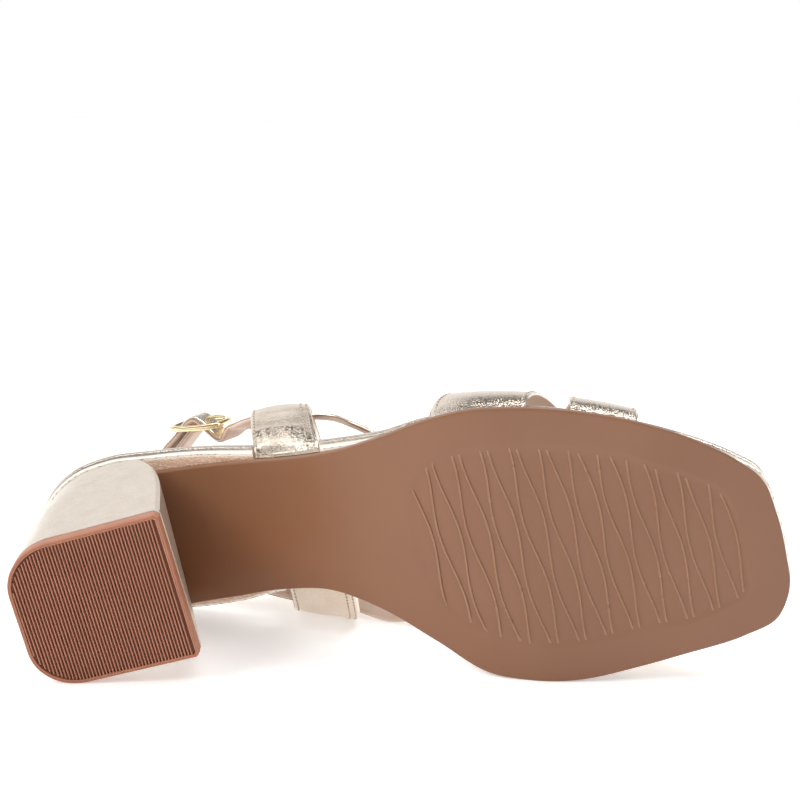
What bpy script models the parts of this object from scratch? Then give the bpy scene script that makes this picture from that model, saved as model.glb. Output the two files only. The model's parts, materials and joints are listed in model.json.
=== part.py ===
"""Right slingback sandal with a square toe and a covered block heel, lying on its medial side.

While it is modelled the shoe has its own axes: x runs from heel to toe, y to the medial (big-toe) side and
z up from the floor that it would be worn on. The finished shoe is then laid over on its medial side, with
its own z along world +Y. Sizes are in millimetres, and every mesh is scaled to metres as it is finished.
"""

import math
from collections import namedtuple

import bmesh
import bpy
import numpy as np
from mathutils import Matrix, Vector

MM = 0.001
GAP = 0.3  # left between pieces that meet

# Sole stack, measured square to the sole from the outsole's underside
OUTSOLE_THICK = 3.0
BOARD_FOOT = OUTSOLE_THICK + GAP
BOARD_THICK = 3.5
FOOTBED_FOOT = BOARD_FOOT + BOARD_THICK + GAP
FOOTBED_THICK = 3.6
FOOTBED_TOP = FOOTBED_FOOT + FOOTBED_THICK
OUTSOLE_EDGE_ROUND = 0.6
WRAPPED_EDGE_ROUND = 1.3
OUTSOLE_REAR_LATERAL = 40.8  # the outsole butts the heel breast here
OUTSOLE_REAR_MEDIAL = 39.2
FOOTBED_FLARE = 0.6  # the footbed stands out over the board
UPPER_FOOT = OUTSOLE_THICK + 0.8  # straps and tabs start at this level
POINTS_PER_SPAN = 3
SLICE_PITCH = 8.0  # the sole's strips, along x

# Underside of the outsole seen from the side: seat, shank, tread flat on the floor, toe spring
SoleLine = namedtuple("SoleLine", "x rise")
SOLE_LINE = (
    SoleLine(-9, 60.2),
    SoleLine(18, 57.4),
    SoleLine(40, 54.2),
    SoleLine(60, 46.3),
    SoleLine(80, 34.4),
    SoleLine(100, 21.4),
    SoleLine(120, 9.8),
    SoleLine(136, 2.9),
    SoleLine(150, 0.2),
    SoleLine(156, 0.0),
    SoleLine(192, 0.0),
    SoleLine(206, 0.7),
    SoleLine(219, 2.4),
    SoleLine(232, 5.2),
)

# Edges of the outsole and of the wrapped insole board, across the shoe
Section = namedtuple("Section", "x sole_lateral sole_medial board_lateral board_medial")
SECTIONS = (
    Section(42, -21.4, 25.8, -26.3, 28.8),
    Section(58, -21.3, 24.9, -25.1, 28.5),
    Section(74, -21.1, 23.4, -23.4, 25.7),
    Section(90, -21.0, 24.2, -22.8, 25.6),
    Section(104, -22.2, 31.0, -23.1, 31.8),
    Section(118, -25.0, 42.4, -23.9, 41.2),
    Section(131, -28.0, 54.1, -26.2, 51.5),
    Section(144, -28.7, 59.0, -26.8, 56.1),
    Section(158, -26.0, 62.2, -24.2, 59.3),
    Section(176, -19.9, 62.9, -17.9, 60.0),
    Section(192, -12.4, 62.6, -10.4, 60.0),
)
ToeKnot = namedtuple("ToeKnot", "sole_x sole_y board_x board_y")
TOE = (
    ToeKnot(208.0, -2.0, 208.0, -0.9),
    ToeKnot(219.5, 8.2, 220.2, 8.3),
    ToeKnot(225.2, 15.5, 226.6, 14.6),
    ToeKnot(227.8, 28.0, 229.6, 27.6),
    ToeKnot(228.2, 41.0, 230.2, 41.0),
    ToeKnot(226.8, 53.0, 228.4, 53.2),
    ToeKnot(221.5, 60.0, 222.2, 59.6),
    ToeKnot(210.0, 62.2, 209.5, 60.4),
)
SeatKnot = namedtuple("SeatKnot", "x y")
SEAT = (
    SeatKnot(30.0, 27.2),
    SeatKnot(19.0, 24.6),
    SeatKnot(9.0, 20.0),
    SeatKnot(0.8, 12.6),
    SeatKnot(-4.8, 1.5),
    SeatKnot(-2.6, -10.4),
    SeatKnot(4.4, -20.0),
    SeatKnot(13.0, -25.3),
    SeatKnot(26.0, -27.6),
)

# Heel: rings from the top lift (share 0) up to the seat (share 1)
LIFT_THICK = 4.7
LIFT_EDGE_ROUND = 0.5
HeelRing = namedtuple("HeelRing", "share rear front front_medial lateral medial taper corner_x corner_y")
HEEL_RINGS = (
    HeelRing(0.0, 0.0, 49.0, 49.0, -22.4, 23.6, 1.0, 15.0, 13.5),
    HeelRing(0.5, -1.4, 46.9, 45.0, -24.5, 24.6, 1.2, 19.0, 17.0),
    HeelRing(0.8, -2.6, 43.6, 41.6, -26.0, 25.3, 1.4, 25.0, 22.0),
    HeelRing(1.0, -3.6, 38.2, 36.6, -26.8, 25.8, 1.5, 30.0, 25.0),
)
HEEL_LEVELS = 7
CORNER_POINTS = 9
BREAST_CORNER = 1.2

# Last under the vamp straps: height of the foot's crown over the footbed
LastLine = namedtuple("LastLine", "x crown")
LAST_LINE = (
    LastLine(125, 46),
    LastLine(145, 39),
    LastLine(165, 33),
    LastLine(185, 27),
    LastLine(205, 22),
)
LAST_SQUARENESS = 2.6  # exponent of the section, 2 is an ellipse
LAST_SKEW = 0.16  # the crown leans to the big-toe side
LAST_EASE = 0.95  # room between the board's edge and a strap
LATERAL_BULGE = 2.2  # straps swell out over the sole's edge
MEDIAL_BULGE = 0.6  # and are pressed flat where the shoe lies on them

# Vamp straps: where each leaves the sole, and its width along the shoe
VampStrap = namedtuple("VampStrap", "lateral_x medial_x lateral_width medial_width lift steady sway")
STRAP_THICK = 1.6
OVER_STRAP = VampStrap(147.0, 187.0, 28.0, 27.0, STRAP_THICK - 0.2, 0.0, 2.5)
UNDER_STRAP = VampStrap(182.9, 150.0, 18.6, 25.0, 0.0, 1.0, 3.0)
STRAP_HOLD = 0.14  # a steady strap runs straight up from the sole for this share
SWAY_END = 0.4  # straps lean to the toe on their first share
LIFT_START, LIFT_SPAN = 0.14, 0.18  # the over strap climbs on the other one
VAMP_STEPS = 28
VAMP_STRIPS = 4

# Side tabs: a folded strip, from the sole's edge up, round the thin strap and down again; the rake is how
# far the fold lies back and the tuck how far it leans in over the foot. Inside it the thin strap lies a
# little out from the middle and turns each way by the twist, in degrees
TabSide = namedtuple(
    "TabSide", "name medial crest_y crest_slope crest_curve top rake tuck strap_share strap_out twist"
)
LATERAL_TAB = TabSide("side_tab_lateral", False, -27.6, 0.083, 0.0113, 82.0, 0.0, 15.0, 0.7, 0.4, 14.0)
MEDIAL_TAB = TabSide("side_tab_medial", True, 41.0, 0.28, -0.008, 77.0, -6.5, 7.0, 0.7, 0.0, 0.0)
TAB_REAR, TAB_FRONT = 76.0, 98.0
TAB_REAR_TAPER, TAB_FRONT_TAPER = 1.0, 2.4  # drawn in at the fold
TAB_LEATHER = 1.3
TAB_ROOM = 1.6  # on each side of the thin strap
TAB_OPENS, TAB_OPENING = 0.44, 0.2  # shares of its height, below the strap, where the leaves part
TAB_BASE_INSET = 1.55
TAB_FOLD = 0.08  # share of the strip, each way from its middle, that goes round the thin strap
TUCK_START = 0.5  # share of the height over which a tab starts to lean in
TAB_STEPS = 13
TAB_STRIPS = 4
NOTCH_DEPTH = 2 * TAB_BASE_INSET + GAP  # the board and footbed are cut back where a tab passes
NOTCH_SIDE_ROOM = 0.6
NOTCH_REACH, NOTCH_TOP = 20.0, 90.0
NOTCH_SHARE = 0.32  # the footbed is passed below this share of a tab's height
NOTCH_SECTIONS = 6
TabLine = namedtuple("TabLine", "share bulge")
TAB_LINE = (
    TabLine(0.0, 0.0),
    TabLine(0.08, 0.0),
    TabLine(0.14, 0.24),
    TabLine(0.19, 0.46),
    TabLine(0.24, 0.66),
    TabLine(0.29, 0.8),
    TabLine(0.35, 0.87),
    TabLine(0.44, 0.89),
    TabLine(0.53, 0.96),
    TabLine(0.62, 1.0),
    TabLine(0.8, 0.97),
    TabLine(1.0, 0.9),
)

# Thin strap: one strip from the buckle, round the heel, through both tabs and back to the buckle
SLING_WIDTH = 9.0
SLING_THICK = 2.2
SLING_CHAMFER = 0.5
TAB_PASS = (-0.05, 0.32, 0.68, 1.05)  # shares of a tab's width where the route is held inside it
RouteKnot = namedtuple("RouteKnot", "x y z lean")
HEEL_ROUTE = (
    RouteKnot(27.0, -4.0, 96.5, 0),
    RouteKnot(14.0, -1.0, 104.0, 0),
    RouteKnot(3.0, 4.5, 109.5, 0),
    RouteKnot(-1.0, 11.5, 110.5, 0),
    RouteKnot(5.5, 18.2, 107.5, 0),
    RouteKnot(19.0, 21.6, 101.0, 0),
    RouteKnot(37.0, 23.6, 90.5, 6),
    RouteKnot(50.0, 25.4, 80.5, 16),
    RouteKnot(60.5, 28.2, 71.5, 28),
)
INSTEP_ROUTE = (
    RouteKnot(97.5, 43.0, 59.8, 40),
    RouteKnot(107.0, 46.2, 54.5, 40),
    RouteKnot(116.0, 45.2, 51.0, 38),
    RouteKnot(123.5, 39.0, 51.0, 38),
    RouteKnot(128.5, 27.0, 56.5, 42),
    RouteKnot(129.0, 12.5, 65.0, 38),
    RouteKnot(124.5, -1.0, 72.0, 24),
    RouteKnot(116.0, -8.8, 75.0, 6),
    RouteKnot(106.5, -17.2, 73.0, 8),
)
BUCKLE_ROUTE = (RouteKnot(69.4, -24.0, 77.5, 40),)
BuckleKnot = namedtuple("BuckleKnot", "along out")
HEEL_END = (
    BuckleKnot(-1.5, -1.4),
    BuckleKnot(-4.5, -3.9),
    BuckleKnot(-8.2, -7.1),
    BuckleKnot(-12.4, -10.4),
    BuckleKnot(-16.5, -13.8),
    BuckleKnot(-20.5, -17.0),
)
FREE_END = (
    BuckleKnot(9.5, -5.2),
    BuckleKnot(5.2, -2.0),
    BuckleKnot(2.4, 1.2),
    BuckleKnot(0.0, 2.6),
    BuckleKnot(-2.4, 1.9),
    BuckleKnot(-5.2, -0.3),
    BuckleKnot(-8.5, -3.1),
    BuckleKnot(-12.8, -6.2),
    BuckleKnot(-17.0, -9.6),
    BuckleKnot(-20.0, -12.0),
)

# Buckle: rounded frame with a centre bar, on the lateral side
BUCKLE_CENTRE = Vector((56.5, -26.7, 85.0))
BUCKLE_ALONG = Vector((0.88, 0.05, -0.47)).normalized()
BUCKLE_LEAN = 6.0  # degrees, its face turns up a little
BUCKLE_HALF_LONG = 9.5
BUCKLE_HALF_WIDE = 6.6
BUCKLE_SQUARENESS = 4.0  # exponent of the frame's outline, 2 is an oval
BUCKLE_POINTS = 32
BUCKLE_WIRE = 1.05
BAR_RADIUS = 0.85
PRONG_RADIUS = 0.7
PRONG_HOLE = 1.05
HOLE_START = BuckleKnot(0.9, -1.4)
PRONG_LINE = (
    BuckleKnot(1.9, 0.1),
    BuckleKnot(3.4, 1.7),
    BuckleKnot(5.6, 2.4),
    BuckleKnot(8.6, 2.3),
    BuckleKnot(10.9, 1.8),
)

SHARP_ANGLE = math.radians(35)
FLAT_ANGLE = math.radians(0.5)
WELD = 0.001
PROBE = 0.01  # step in share for the direction of a tab's leaf
SETTLE_ROUNDS = 12

Finish = namedtuple("Finish", "name colour roughness metallic")
GOLD_LEATHER = Finish("gold_leather", (0.72, 0.60, 0.46), 0.36, 0.75)
HEEL_LEATHER = Finish("heel_leather", (0.76, 0.68, 0.58), 0.4, 0.5)
SOLE_RUBBER = Finish("sole_rubber", (0.31, 0.145, 0.085), 0.45, 0.0)
LIFT_RUBBER = Finish("lift_rubber", (0.26, 0.115, 0.08), 0.6, 0.0)
GILT = Finish("gilt_metal", (0.83, 0.62, 0.28), 0.18, 1.0)


def ease(value):
    """Smooth step from 0 to 1."""
    value = np.clip(value, 0.0, 1.0)
    return value * value * (3.0 - 2.0 * value)


def signed_power(value, power):
    """Power of a number's size, with the number's own sign."""
    return math.copysign(abs(value) ** power, value)


def hermite(start, end, start_slope, end_slope, span, share):
    """Point of a cubic span at a share of its length."""
    square, cube = share * share, share * share * share
    return (
        start * (2 * cube - 3 * square + 1)
        + end * (3 * square - 2 * cube)
        + start_slope * span * (cube - 2 * square + share)
        + end_slope * span * (cube - square)
    )


def smooth_line(rows, column):
    """Function of the rows' first column that runs through one other column and never overshoots it."""
    places = np.array([row[0] for row in rows], float)
    values = np.array([getattr(row, column) for row in rows], float)
    spans = np.diff(places)
    slopes = np.diff(values) / spans
    tangents = np.concatenate(([slopes[0]], np.zeros(len(rows) - 2), [slopes[-1]]))
    for i in range(1, len(rows) - 1):
        before, after = slopes[i - 1], slopes[i]
        if before * after > 0:
            tangents[i] = 2 * before * after / (before + after)

    def value(place):
        place = np.clip(place, places[0], places[-1])
        i = np.clip(np.searchsorted(places, place) - 1, 0, len(spans) - 1)
        share = (place - places[i]) / spans[i]
        return hermite(values[i], values[i + 1], tangents[i], tangents[i + 1], spans[i], share)

    return value


def smooth_chain(knots, per_span, closed=False):
    """Points of a smooth curve through the knots, which may carry more columns than their place."""
    knots = np.array(knots, float)
    following = np.roll(knots, -1, axis=0)
    spans = np.linalg.norm((following - knots)[:, :3], axis=1)[:, None]
    slopes = (following - knots) / spans
    spans_before, slopes_before = np.roll(spans, 1, axis=0), np.roll(slopes, 1, axis=0)
    tangents = (slopes_before * spans + slopes * spans_before) / (spans + spans_before)
    if not closed:
        tangents[0], tangents[-1] = slopes[0], slopes_before[-1]
    points = []
    for i in range(len(knots) if closed else len(knots) - 1):
        j = (i + 1) % len(knots)
        for k in range(per_span):
            points.append(hermite(knots[i], knots[j], tangents[i], tangents[j], spans[i], k / per_span))
    if not closed:
        points.append(knots[-1])
    return np.array(points)


sole_rise = smooth_line(SOLE_LINE, "rise")
crown_height = smooth_line(LAST_LINE, "crown")
tab_bulge = smooth_line(TAB_LINE, "bulge")


def sole_height(x, level):
    """Height over the floor of the surface that lies a level above the outsole's underside."""
    slope = sole_rise(x + 0.5) - sole_rise(x - 0.5)
    return sole_rise(x) + level * np.sqrt(1.0 + slope * slope)


def board_loop():
    """Edge of the insole board all round, from the lateral seat to the toe and back."""
    lateral = [(row.x, row.board_lateral) for row in SECTIONS]
    medial = [(row.x, row.board_medial) for row in reversed(SECTIONS)]
    toe = [(knot.board_x, knot.board_y) for knot in TOE]
    return smooth_chain(lateral + toe + medial + list(SEAT), POINTS_PER_SPAN, closed=True)


def sole_loop():
    """Edge of the outsole, from the heel breast round the toe and back, closed by a straight line."""
    lateral = [(row.x, row.sole_lateral) for row in SECTIONS]
    medial = [(row.x, row.sole_medial) for row in reversed(SECTIONS)]
    lateral[0] = (OUTSOLE_REAR_LATERAL, lateral[0][1])
    medial[-1] = (OUTSOLE_REAR_MEDIAL, medial[-1][1])
    toe = [(knot.sole_x, knot.sole_y) for knot in TOE]
    return smooth_chain(lateral + toe + medial, POINTS_PER_SPAN)


BOARD_LOOP = board_loop()
SOLE_LOOP = sole_loop()


def edge_at(loop, x, medial):
    """Side position of a loop's lateral or medial edge at x, between the seat and the toe."""
    sections, toe = len(SECTIONS), len(TOE)
    lateral_part = loop[: sections * POINTS_PER_SPAN + 1]
    first = (sections + toe - 1) * POINTS_PER_SPAN
    medial_part = loop[first : first + sections * POINTS_PER_SPAN + 1]
    part = medial_part[::-1] if medial else lateral_part
    return float(np.interp(x, part[:, 0], part[:, 1]))


def add_material(part, finish):
    """Gives a part its own plain material."""
    material = bpy.data.materials.new(part.name + "_" + finish.name)
    material.use_nodes = True
    shader = material.node_tree.nodes["Principled BSDF"]
    shader.inputs["Base Color"].default_value = (*finish.colour, 1.0)
    shader.inputs["Roughness"].default_value = finish.roughness
    shader.inputs["Metallic"].default_value = finish.metallic
    part.data.materials.append(material)


def add_object(name, bm, collection, parent):
    """Object from a mesh in shoe millimetres."""
    bmesh.ops.scale(bm, vec=(MM, MM, MM), verts=bm.verts)
    mesh = bpy.data.meshes.new(name)
    bm.to_mesh(mesh)
    bm.free()
    mesh.shade_smooth()
    mesh.set_sharp_from_angle(angle=SHARP_ANGLE)
    thing = bpy.data.objects.new(name, mesh)
    collection.objects.link(thing)
    thing.parent = parent
    return thing


def make_cutter(thing):
    """Marks an object as a tool for a Boolean, which isn't part of the shoe."""
    thing.hide_render = True
    thing.display_type = "WIRE"
    return thing


def add_boolean(part, other, operation):
    """Cuts or joins a part with another object."""
    modifier = part.modifiers.new(operation.lower(), "BOOLEAN")
    modifier.operation = operation
    modifier.object = other


def curve_mesh(curve):
    """Closed bmesh of a curve, with its caps welded."""
    guide = bpy.data.objects.new("guide", curve)
    bpy.context.scene.collection.objects.link(guide)
    depsgraph = bpy.context.evaluated_depsgraph_get()
    mesh = bpy.data.meshes.new_from_object(guide.evaluated_get(depsgraph))
    bm = bmesh.new()
    bm.from_mesh(mesh)
    bmesh.ops.remove_doubles(bm, verts=bm.verts, dist=WELD)
    bmesh.ops.recalc_face_normals(bm, faces=bm.faces)
    bpy.data.objects.remove(guide)
    bpy.data.meshes.remove(mesh)
    return bm


def flat_plate(loop, foot, thick, edge_round, rounds, flare=0.0):
    """Flat plate with the loop's outline, flared or not, and rounded edges, from a level foot upwards."""
    curve = bpy.data.curves.new("outline", "CURVE")
    curve.dimensions = "2D"
    curve.fill_mode = "BOTH"
    curve.extrude = thick / 2 - edge_round
    curve.bevel_depth = edge_round
    curve.bevel_resolution = rounds
    curve.offset = flare - edge_round
    spline = curve.splines.new("POLY")
    spline.points.add(len(loop) - 1)
    for point, (x, y) in zip(spline.points, loop):
        point.co = (x, y, 0.0, 1.0)
    spline.use_cyclic_u = True
    bm = curve_mesh(curve)
    bmesh.ops.dissolve_limit(bm, angle_limit=FLAT_ANGLE, verts=bm.verts, edges=bm.edges)
    bmesh.ops.translate(bm, vec=(0.0, 0.0, foot + thick / 2), verts=bm.verts)
    return bm


def slice_across(bm, pitch):
    """Cuts a mesh into strips across the shoe, so that it can follow the sole's line."""
    lengths = [vert.co.x for vert in bm.verts]
    for x in np.arange(min(lengths) + pitch / 2, max(lengths), pitch):
        geometry = bm.verts[:] + bm.edges[:] + bm.faces[:]
        bmesh.ops.bisect_plane(bm, geom=geometry, dist=WELD, plane_co=(x, 0, 0), plane_no=(1, 0, 0))
    bmesh.ops.triangulate(bm, faces=bm.faces)


def raise_to_sole(bm):
    """Bends a flat plate, whose z is a level in the sole's stack, to the sole's line."""
    slice_across(bm, SLICE_PITCH)
    for vert in bm.verts:
        vert.co.z = float(sole_height(vert.co.x, vert.co.z))


def loft(rings):
    """Closed bmesh through rings of equally many points, with flat caps."""
    bm = bmesh.new()
    rows = [[bm.verts.new(point) for point in ring] for ring in rings]
    count = len(rings[0])
    for lower, upper in zip(rows, rows[1:]):
        for i in range(count):
            j = (i + 1) % count
            bm.faces.new((lower[i], lower[j], upper[j], upper[i]))
    bm.faces.new(rows[0][::-1])
    bm.faces.new(rows[-1])
    bmesh.ops.recalc_face_normals(bm, faces=bm.faces)
    return bm


def sheet(place, steps, strips):
    """Open grid whose points follow a function of the shares along and across it."""
    bm = bmesh.new()
    bmesh.ops.create_grid(bm, x_segments=steps, y_segments=strips, size=0.5)
    for vert in bm.verts:
        vert.co = place(vert.co.x + 0.5, vert.co.y + 0.5)
    return bm


def thicken(part, thickness, offset):
    """Gives an open sheet its wall."""
    wall = part.modifiers.new("wall", "SOLIDIFY")
    wall.thickness = thickness * MM
    wall.offset = offset
    wall.use_even_offset = True


def build_sole(parts, parent):
    """Outsole, wrapped board and footbed."""
    outsole = flat_plate(SOLE_LOOP, 0.0, OUTSOLE_THICK, OUTSOLE_EDGE_ROUND, 0)
    board = flat_plate(BOARD_LOOP, BOARD_FOOT, BOARD_THICK, WRAPPED_EDGE_ROUND, 1)
    footbed = flat_plate(BOARD_LOOP, FOOTBED_FOOT, FOOTBED_THICK, WRAPPED_EDGE_ROUND, 1, FOOTBED_FLARE)
    plates = (
        ("outsole", outsole, SOLE_RUBBER),
        ("insole_board", board, GOLD_LEATHER),
        ("footbed", footbed, GOLD_LEATHER),
    )
    for name, bm, finish in plates:
        raise_to_sole(bm)
        add_material(add_object(name, bm, parts, parent), finish)


def heel_ring(share):
    """Outline of the heel at a share of its height: round at the rear, flat at the breast."""
    ring = HeelRing(share, *(float(smooth_line(HEEL_RINGS, name)(share)) for name in HeelRing._fields[1:]))
    points = [(ring.front, ring.lateral + BREAST_CORNER), (ring.front - BREAST_CORNER, ring.lateral)]
    for side, sign in ((ring.lateral, 1), (ring.medial - ring.taper, -1)):
        arc = []
        for turn in np.linspace(0.0, math.pi / 2, CORNER_POINTS):
            x = ring.rear + ring.corner_x * (1 - math.sin(turn))
            arc.append((x, side + sign * ring.corner_y * (1 - math.cos(turn))))
        points += arc if sign > 0 else arc[::-1]
    points.append((ring.front_medial - BREAST_CORNER, ring.medial))
    points.append((ring.front_medial, ring.medial - BREAST_CORNER))
    return points


def build_heel(parts, parent):
    """Covered block from the top lift up to the board, and the top lift."""
    foot = LIFT_THICK + GAP
    rings = [
        [(x, y, share) for x, y in heel_ring(share)] for share in np.linspace(0.0, 1.0, HEEL_LEVELS)
    ]
    bm = loft(rings)
    slice_across(bm, SLICE_PITCH)
    for vert in bm.verts:
        seat = float(sole_height(vert.co.x, BOARD_FOOT)) - GAP
        vert.co.z = foot + (seat - foot) * vert.co.z
    add_material(add_object("heel_block", bm, parts, parent), HEEL_LEATHER)
    lift = flat_plate(heel_ring(0.0), 0.0, LIFT_THICK, LIFT_EDGE_ROUND, 0)
    bmesh.ops.triangulate(lift, faces=lift.faces)
    add_material(add_object("top_lift", lift, parts, parent), LIFT_RUBBER)


def last_point(x, share, lift):
    """Point on the last over the sole, from its lateral edge (share 0) to its medial edge (share 1)."""
    lateral, medial = edge_at(BOARD_LOOP, x, False), edge_at(BOARD_LOOP, x, True)
    half = (medial - lateral) / 2 + LAST_EASE + lift
    base = float(sole_height(x, UPPER_FOOT))
    height = float(sole_height(x, FOOTBED_TOP)) + float(crown_height(x)) + lift - base
    turn = math.pi * share
    power = 2.0 / LAST_SQUARENESS
    across = -half * signed_power(math.cos(turn), power)
    across -= (LATERAL_BULGE if share < 0.5 else MEDIAL_BULGE) * math.sin(2 * turn)
    up = max(math.sin(turn), 0.0) ** power * (1.0 - LAST_SKEW * math.cos(turn))
    return Vector((x, (lateral + medial) / 2 + across, base + height * up))


def vamp_sheet(strap):
    """Inner face of one wide strap over the last."""

    def place(along, across):
        held = float(ease((along - STRAP_HOLD) / (1 - 2 * STRAP_HOLD)))
        crossing = along + strap.steady * (held - along)
        centre = strap.lateral_x + (strap.medial_x - strap.lateral_x) * crossing
        centre += strap.sway * math.sin(math.pi * min(along / SWAY_END, 1.0))
        width = strap.lateral_width + (strap.medial_width - strap.lateral_width) * along
        climb = ease((along - LIFT_START) / LIFT_SPAN) * ease((1 - LIFT_START - along) / LIFT_SPAN)
        lift = strap.lift * float(climb)
        return last_point(centre + (across - 0.5) * width, along, lift)

    return sheet(place, VAMP_STEPS, VAMP_STRIPS)


def build_vamp(parts, cutters, parent):
    """Two wide straps that cross over the toes and are joined there."""
    under = make_cutter(add_object("under_strap_tool", vamp_sheet(UNDER_STRAP), cutters, parent))
    over = add_object("vamp_straps", vamp_sheet(OVER_STRAP), parts, parent)
    for strap in (under, over):
        thicken(strap, STRAP_THICK, -1.0)
    add_boolean(over, under, "UNION")
    add_material(over, GOLD_LEATHER)


def tab_place(tab, across, share):
    """Position along the shoe of a point of a tab, which narrows upwards and may rake back."""
    rear = TAB_REAR + (tab.rake + TAB_REAR_TAPER) * share
    front = TAB_FRONT + (tab.rake - TAB_FRONT_TAPER) * share
    return rear + (front - rear) * across


def tab_middle(tab, x, share):
    """Middle of a folded tab at a share of its height, with its outward and upward directions there."""
    side = 1.0 if tab.medial else -1.0

    def middle(part):
        edge = edge_at(SOLE_LOOP, x, tab.medial) - side * TAB_BASE_INSET
        reach = x - (TAB_REAR + TAB_FRONT) / 2
        crest = tab.crest_y + tab.crest_slope * reach + tab.crest_curve * reach * reach
        tuck = tab.tuck * max((part - TUCK_START) / (1.0 - TUCK_START), 0.0) ** 2
        base = float(sole_height(x, UPPER_FOOT))
        y = edge + (crest - edge) * float(tab_bulge(part)) - side * tuck
        return Vector((x, y, base + (tab.top - base) * part))

    upward = (middle(min(share + PROBE, 1.0)) - middle(max(share - PROBE, 0.0))).normalized()
    return middle(share), Vector((0.0, side * upward.z, -side * upward.y)), upward


def tab_spread(tab, share):
    """Distance of each leaf's own middle from the tab's, which opens round the thin strap."""
    shut = GAP / 2 + TAB_LEATHER / 2
    round_strap = SLING_THICK / 2 + TAB_ROOM + TAB_LEATHER / 2
    return shut + (round_strap - shut) * float(ease((share - tab.strap_share + TAB_OPENS) / TAB_OPENING))


def tab_sheet(tab):
    """Middle surface of the folded strip: up the outside, over the strap, down the inside."""
    leaf = 0.5 - TAB_FOLD

    def place(along, across):
        if along < leaf:
            share, turn = along / leaf, 0.0
        elif along > 1.0 - leaf:
            share, turn = (1.0 - along) / leaf, math.pi
        else:
            share, turn = 1.0, math.pi * (along - leaf) / (2 * TAB_FOLD)
        middle, outward, upward = tab_middle(tab, tab_place(tab, across, share), share)
        return middle + (outward * math.cos(turn) + upward * math.sin(turn)) * tab_spread(tab, share)

    return sheet(place, 2 * TAB_STEPS, TAB_STRIPS)


def notch_tool(tab):
    """Block that clears the board and footbed where a tab passes them."""
    side = 1.0 if tab.medial else -1.0
    rings = []
    rear = min(tab_place(tab, 0.0, share) for share in (0.0, NOTCH_SHARE))
    for x in np.linspace(rear - NOTCH_SIDE_ROOM, TAB_FRONT + NOTCH_SIDE_ROOM, NOTCH_SECTIONS):
        edge = edge_at(SOLE_LOOP, x, tab.medial)
        inner, outer = edge - side * NOTCH_DEPTH, edge + side * NOTCH_REACH
        rings.append([(x, inner, 0.0), (x, outer, 0.0), (x, outer, NOTCH_TOP), (x, inner, NOTCH_TOP)])
    return loft(rings)


def build_tabs(parts, cutters, parent):
    """Folded side tabs, and the notches in the board and footbed that they pass."""
    for tab in (LATERAL_TAB, MEDIAL_TAB):
        part = add_object(tab.name, tab_sheet(tab), parts, parent)
        thicken(part, TAB_LEATHER, 0.0)
        add_material(part, GOLD_LEATHER)
        tool = make_cutter(add_object(tab.name + "_notch_tool", notch_tool(tab), cutters, parent))
        for name in ("insole_board", "footbed"):
            add_boolean(bpy.data.objects[name], tool, "DIFFERENCE")


def leaning_face(ahead, lean):
    """Direction that a strap's outer face looks, for its heading and its lean from upright in degrees."""
    upright = Vector((0, 0, 1))
    outward = upright.cross(ahead).normalized()
    return outward * math.cos(math.radians(lean)) + upright * math.sin(math.radians(lean))


def buckle_axes():
    """The buckle's directions: along the strap, out from the foot and across the strap."""
    face = leaning_face(-BUCKLE_ALONG, BUCKLE_LEAN)
    across = BUCKLE_ALONG.cross(face).normalized()
    return BUCKLE_ALONG, across.cross(BUCKLE_ALONG), across


def buckle_point(along, out, across=0.0):
    """Place given in the buckle's own directions."""
    axes = buckle_axes()
    return BUCKLE_CENTRE + axes[0] * along + axes[1] * out + axes[2] * across


def buckle_knots(rows):
    """Route of the thin strap through the buckle, with its face."""
    return [(*buckle_point(*row), *buckle_axes()[1]) for row in rows]


def tab_knots(tab):
    """Route of the thin strap inside a tab, from its rear to its front, with its face."""
    knots = []
    for across in TAB_PASS:
        middle, outward, upward = tab_middle(tab, tab_place(tab, across, tab.strap_share), tab.strap_share)
        turn = math.radians(tab.twist * (1.0 - 2.0 * across))
        place = middle + outward * tab.strap_out
        knots.append((*place, *(outward * math.cos(turn) + upward * math.sin(turn))))
    return knots


def open_knots(rows, before, after):
    """Route of the thin strap in the open between two neighbours, with its face."""
    places = [Vector(before[:3])] + [Vector(row[:3]) for row in rows] + [Vector(after[:3])]
    knots = []
    for i, row in enumerate(rows):
        knots.append((*places[i + 1], *leaning_face(places[i + 2] - places[i], row.lean)))
    return knots


def sling_route():
    """Knots of the thin strap's middle line with the direction of its face."""
    heel_end, free_end = buckle_knots(HEEL_END), buckle_knots(FREE_END)
    medial, lateral = tab_knots(MEDIAL_TAB), tab_knots(LATERAL_TAB)[::-1]
    heel = open_knots(HEEL_ROUTE, heel_end[-1], medial[0])
    instep = open_knots(INSTEP_ROUTE, medial[-1], lateral[0])
    to_buckle = open_knots(BUCKLE_ROUTE, lateral[-1], free_end[0])
    return heel_end + heel + medial + instep + lateral + to_buckle + free_end


def sling_rings():
    """Sections of the thin strap along its route."""
    points = smooth_chain(sling_route(), 2)
    half_wide, half_thick, cut = SLING_WIDTH / 2, SLING_THICK / 2, SLING_CHAMFER
    profile = []
    for wide, thick in ((1, 1), (-1, 1), (-1, -1), (1, -1)):
        on_face = (wide * (half_wide - cut), thick * half_thick)
        on_edge = (wide * half_wide, thick * (half_thick - cut))
        profile += [on_edge, on_face] if wide * thick > 0 else [on_face, on_edge]
    rings = []
    for i, point in enumerate(points):
        ahead = Vector(points[min(i + 1, len(points) - 1)][:3] - points[max(i - 1, 0)][:3]).normalized()
        across = ahead.cross(Vector(point[3:])).normalized()
        face = across.cross(ahead)
        rings.append([Vector(point[:3]) + across * wide + face * thick for wide, thick in profile])
    return rings


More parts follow.
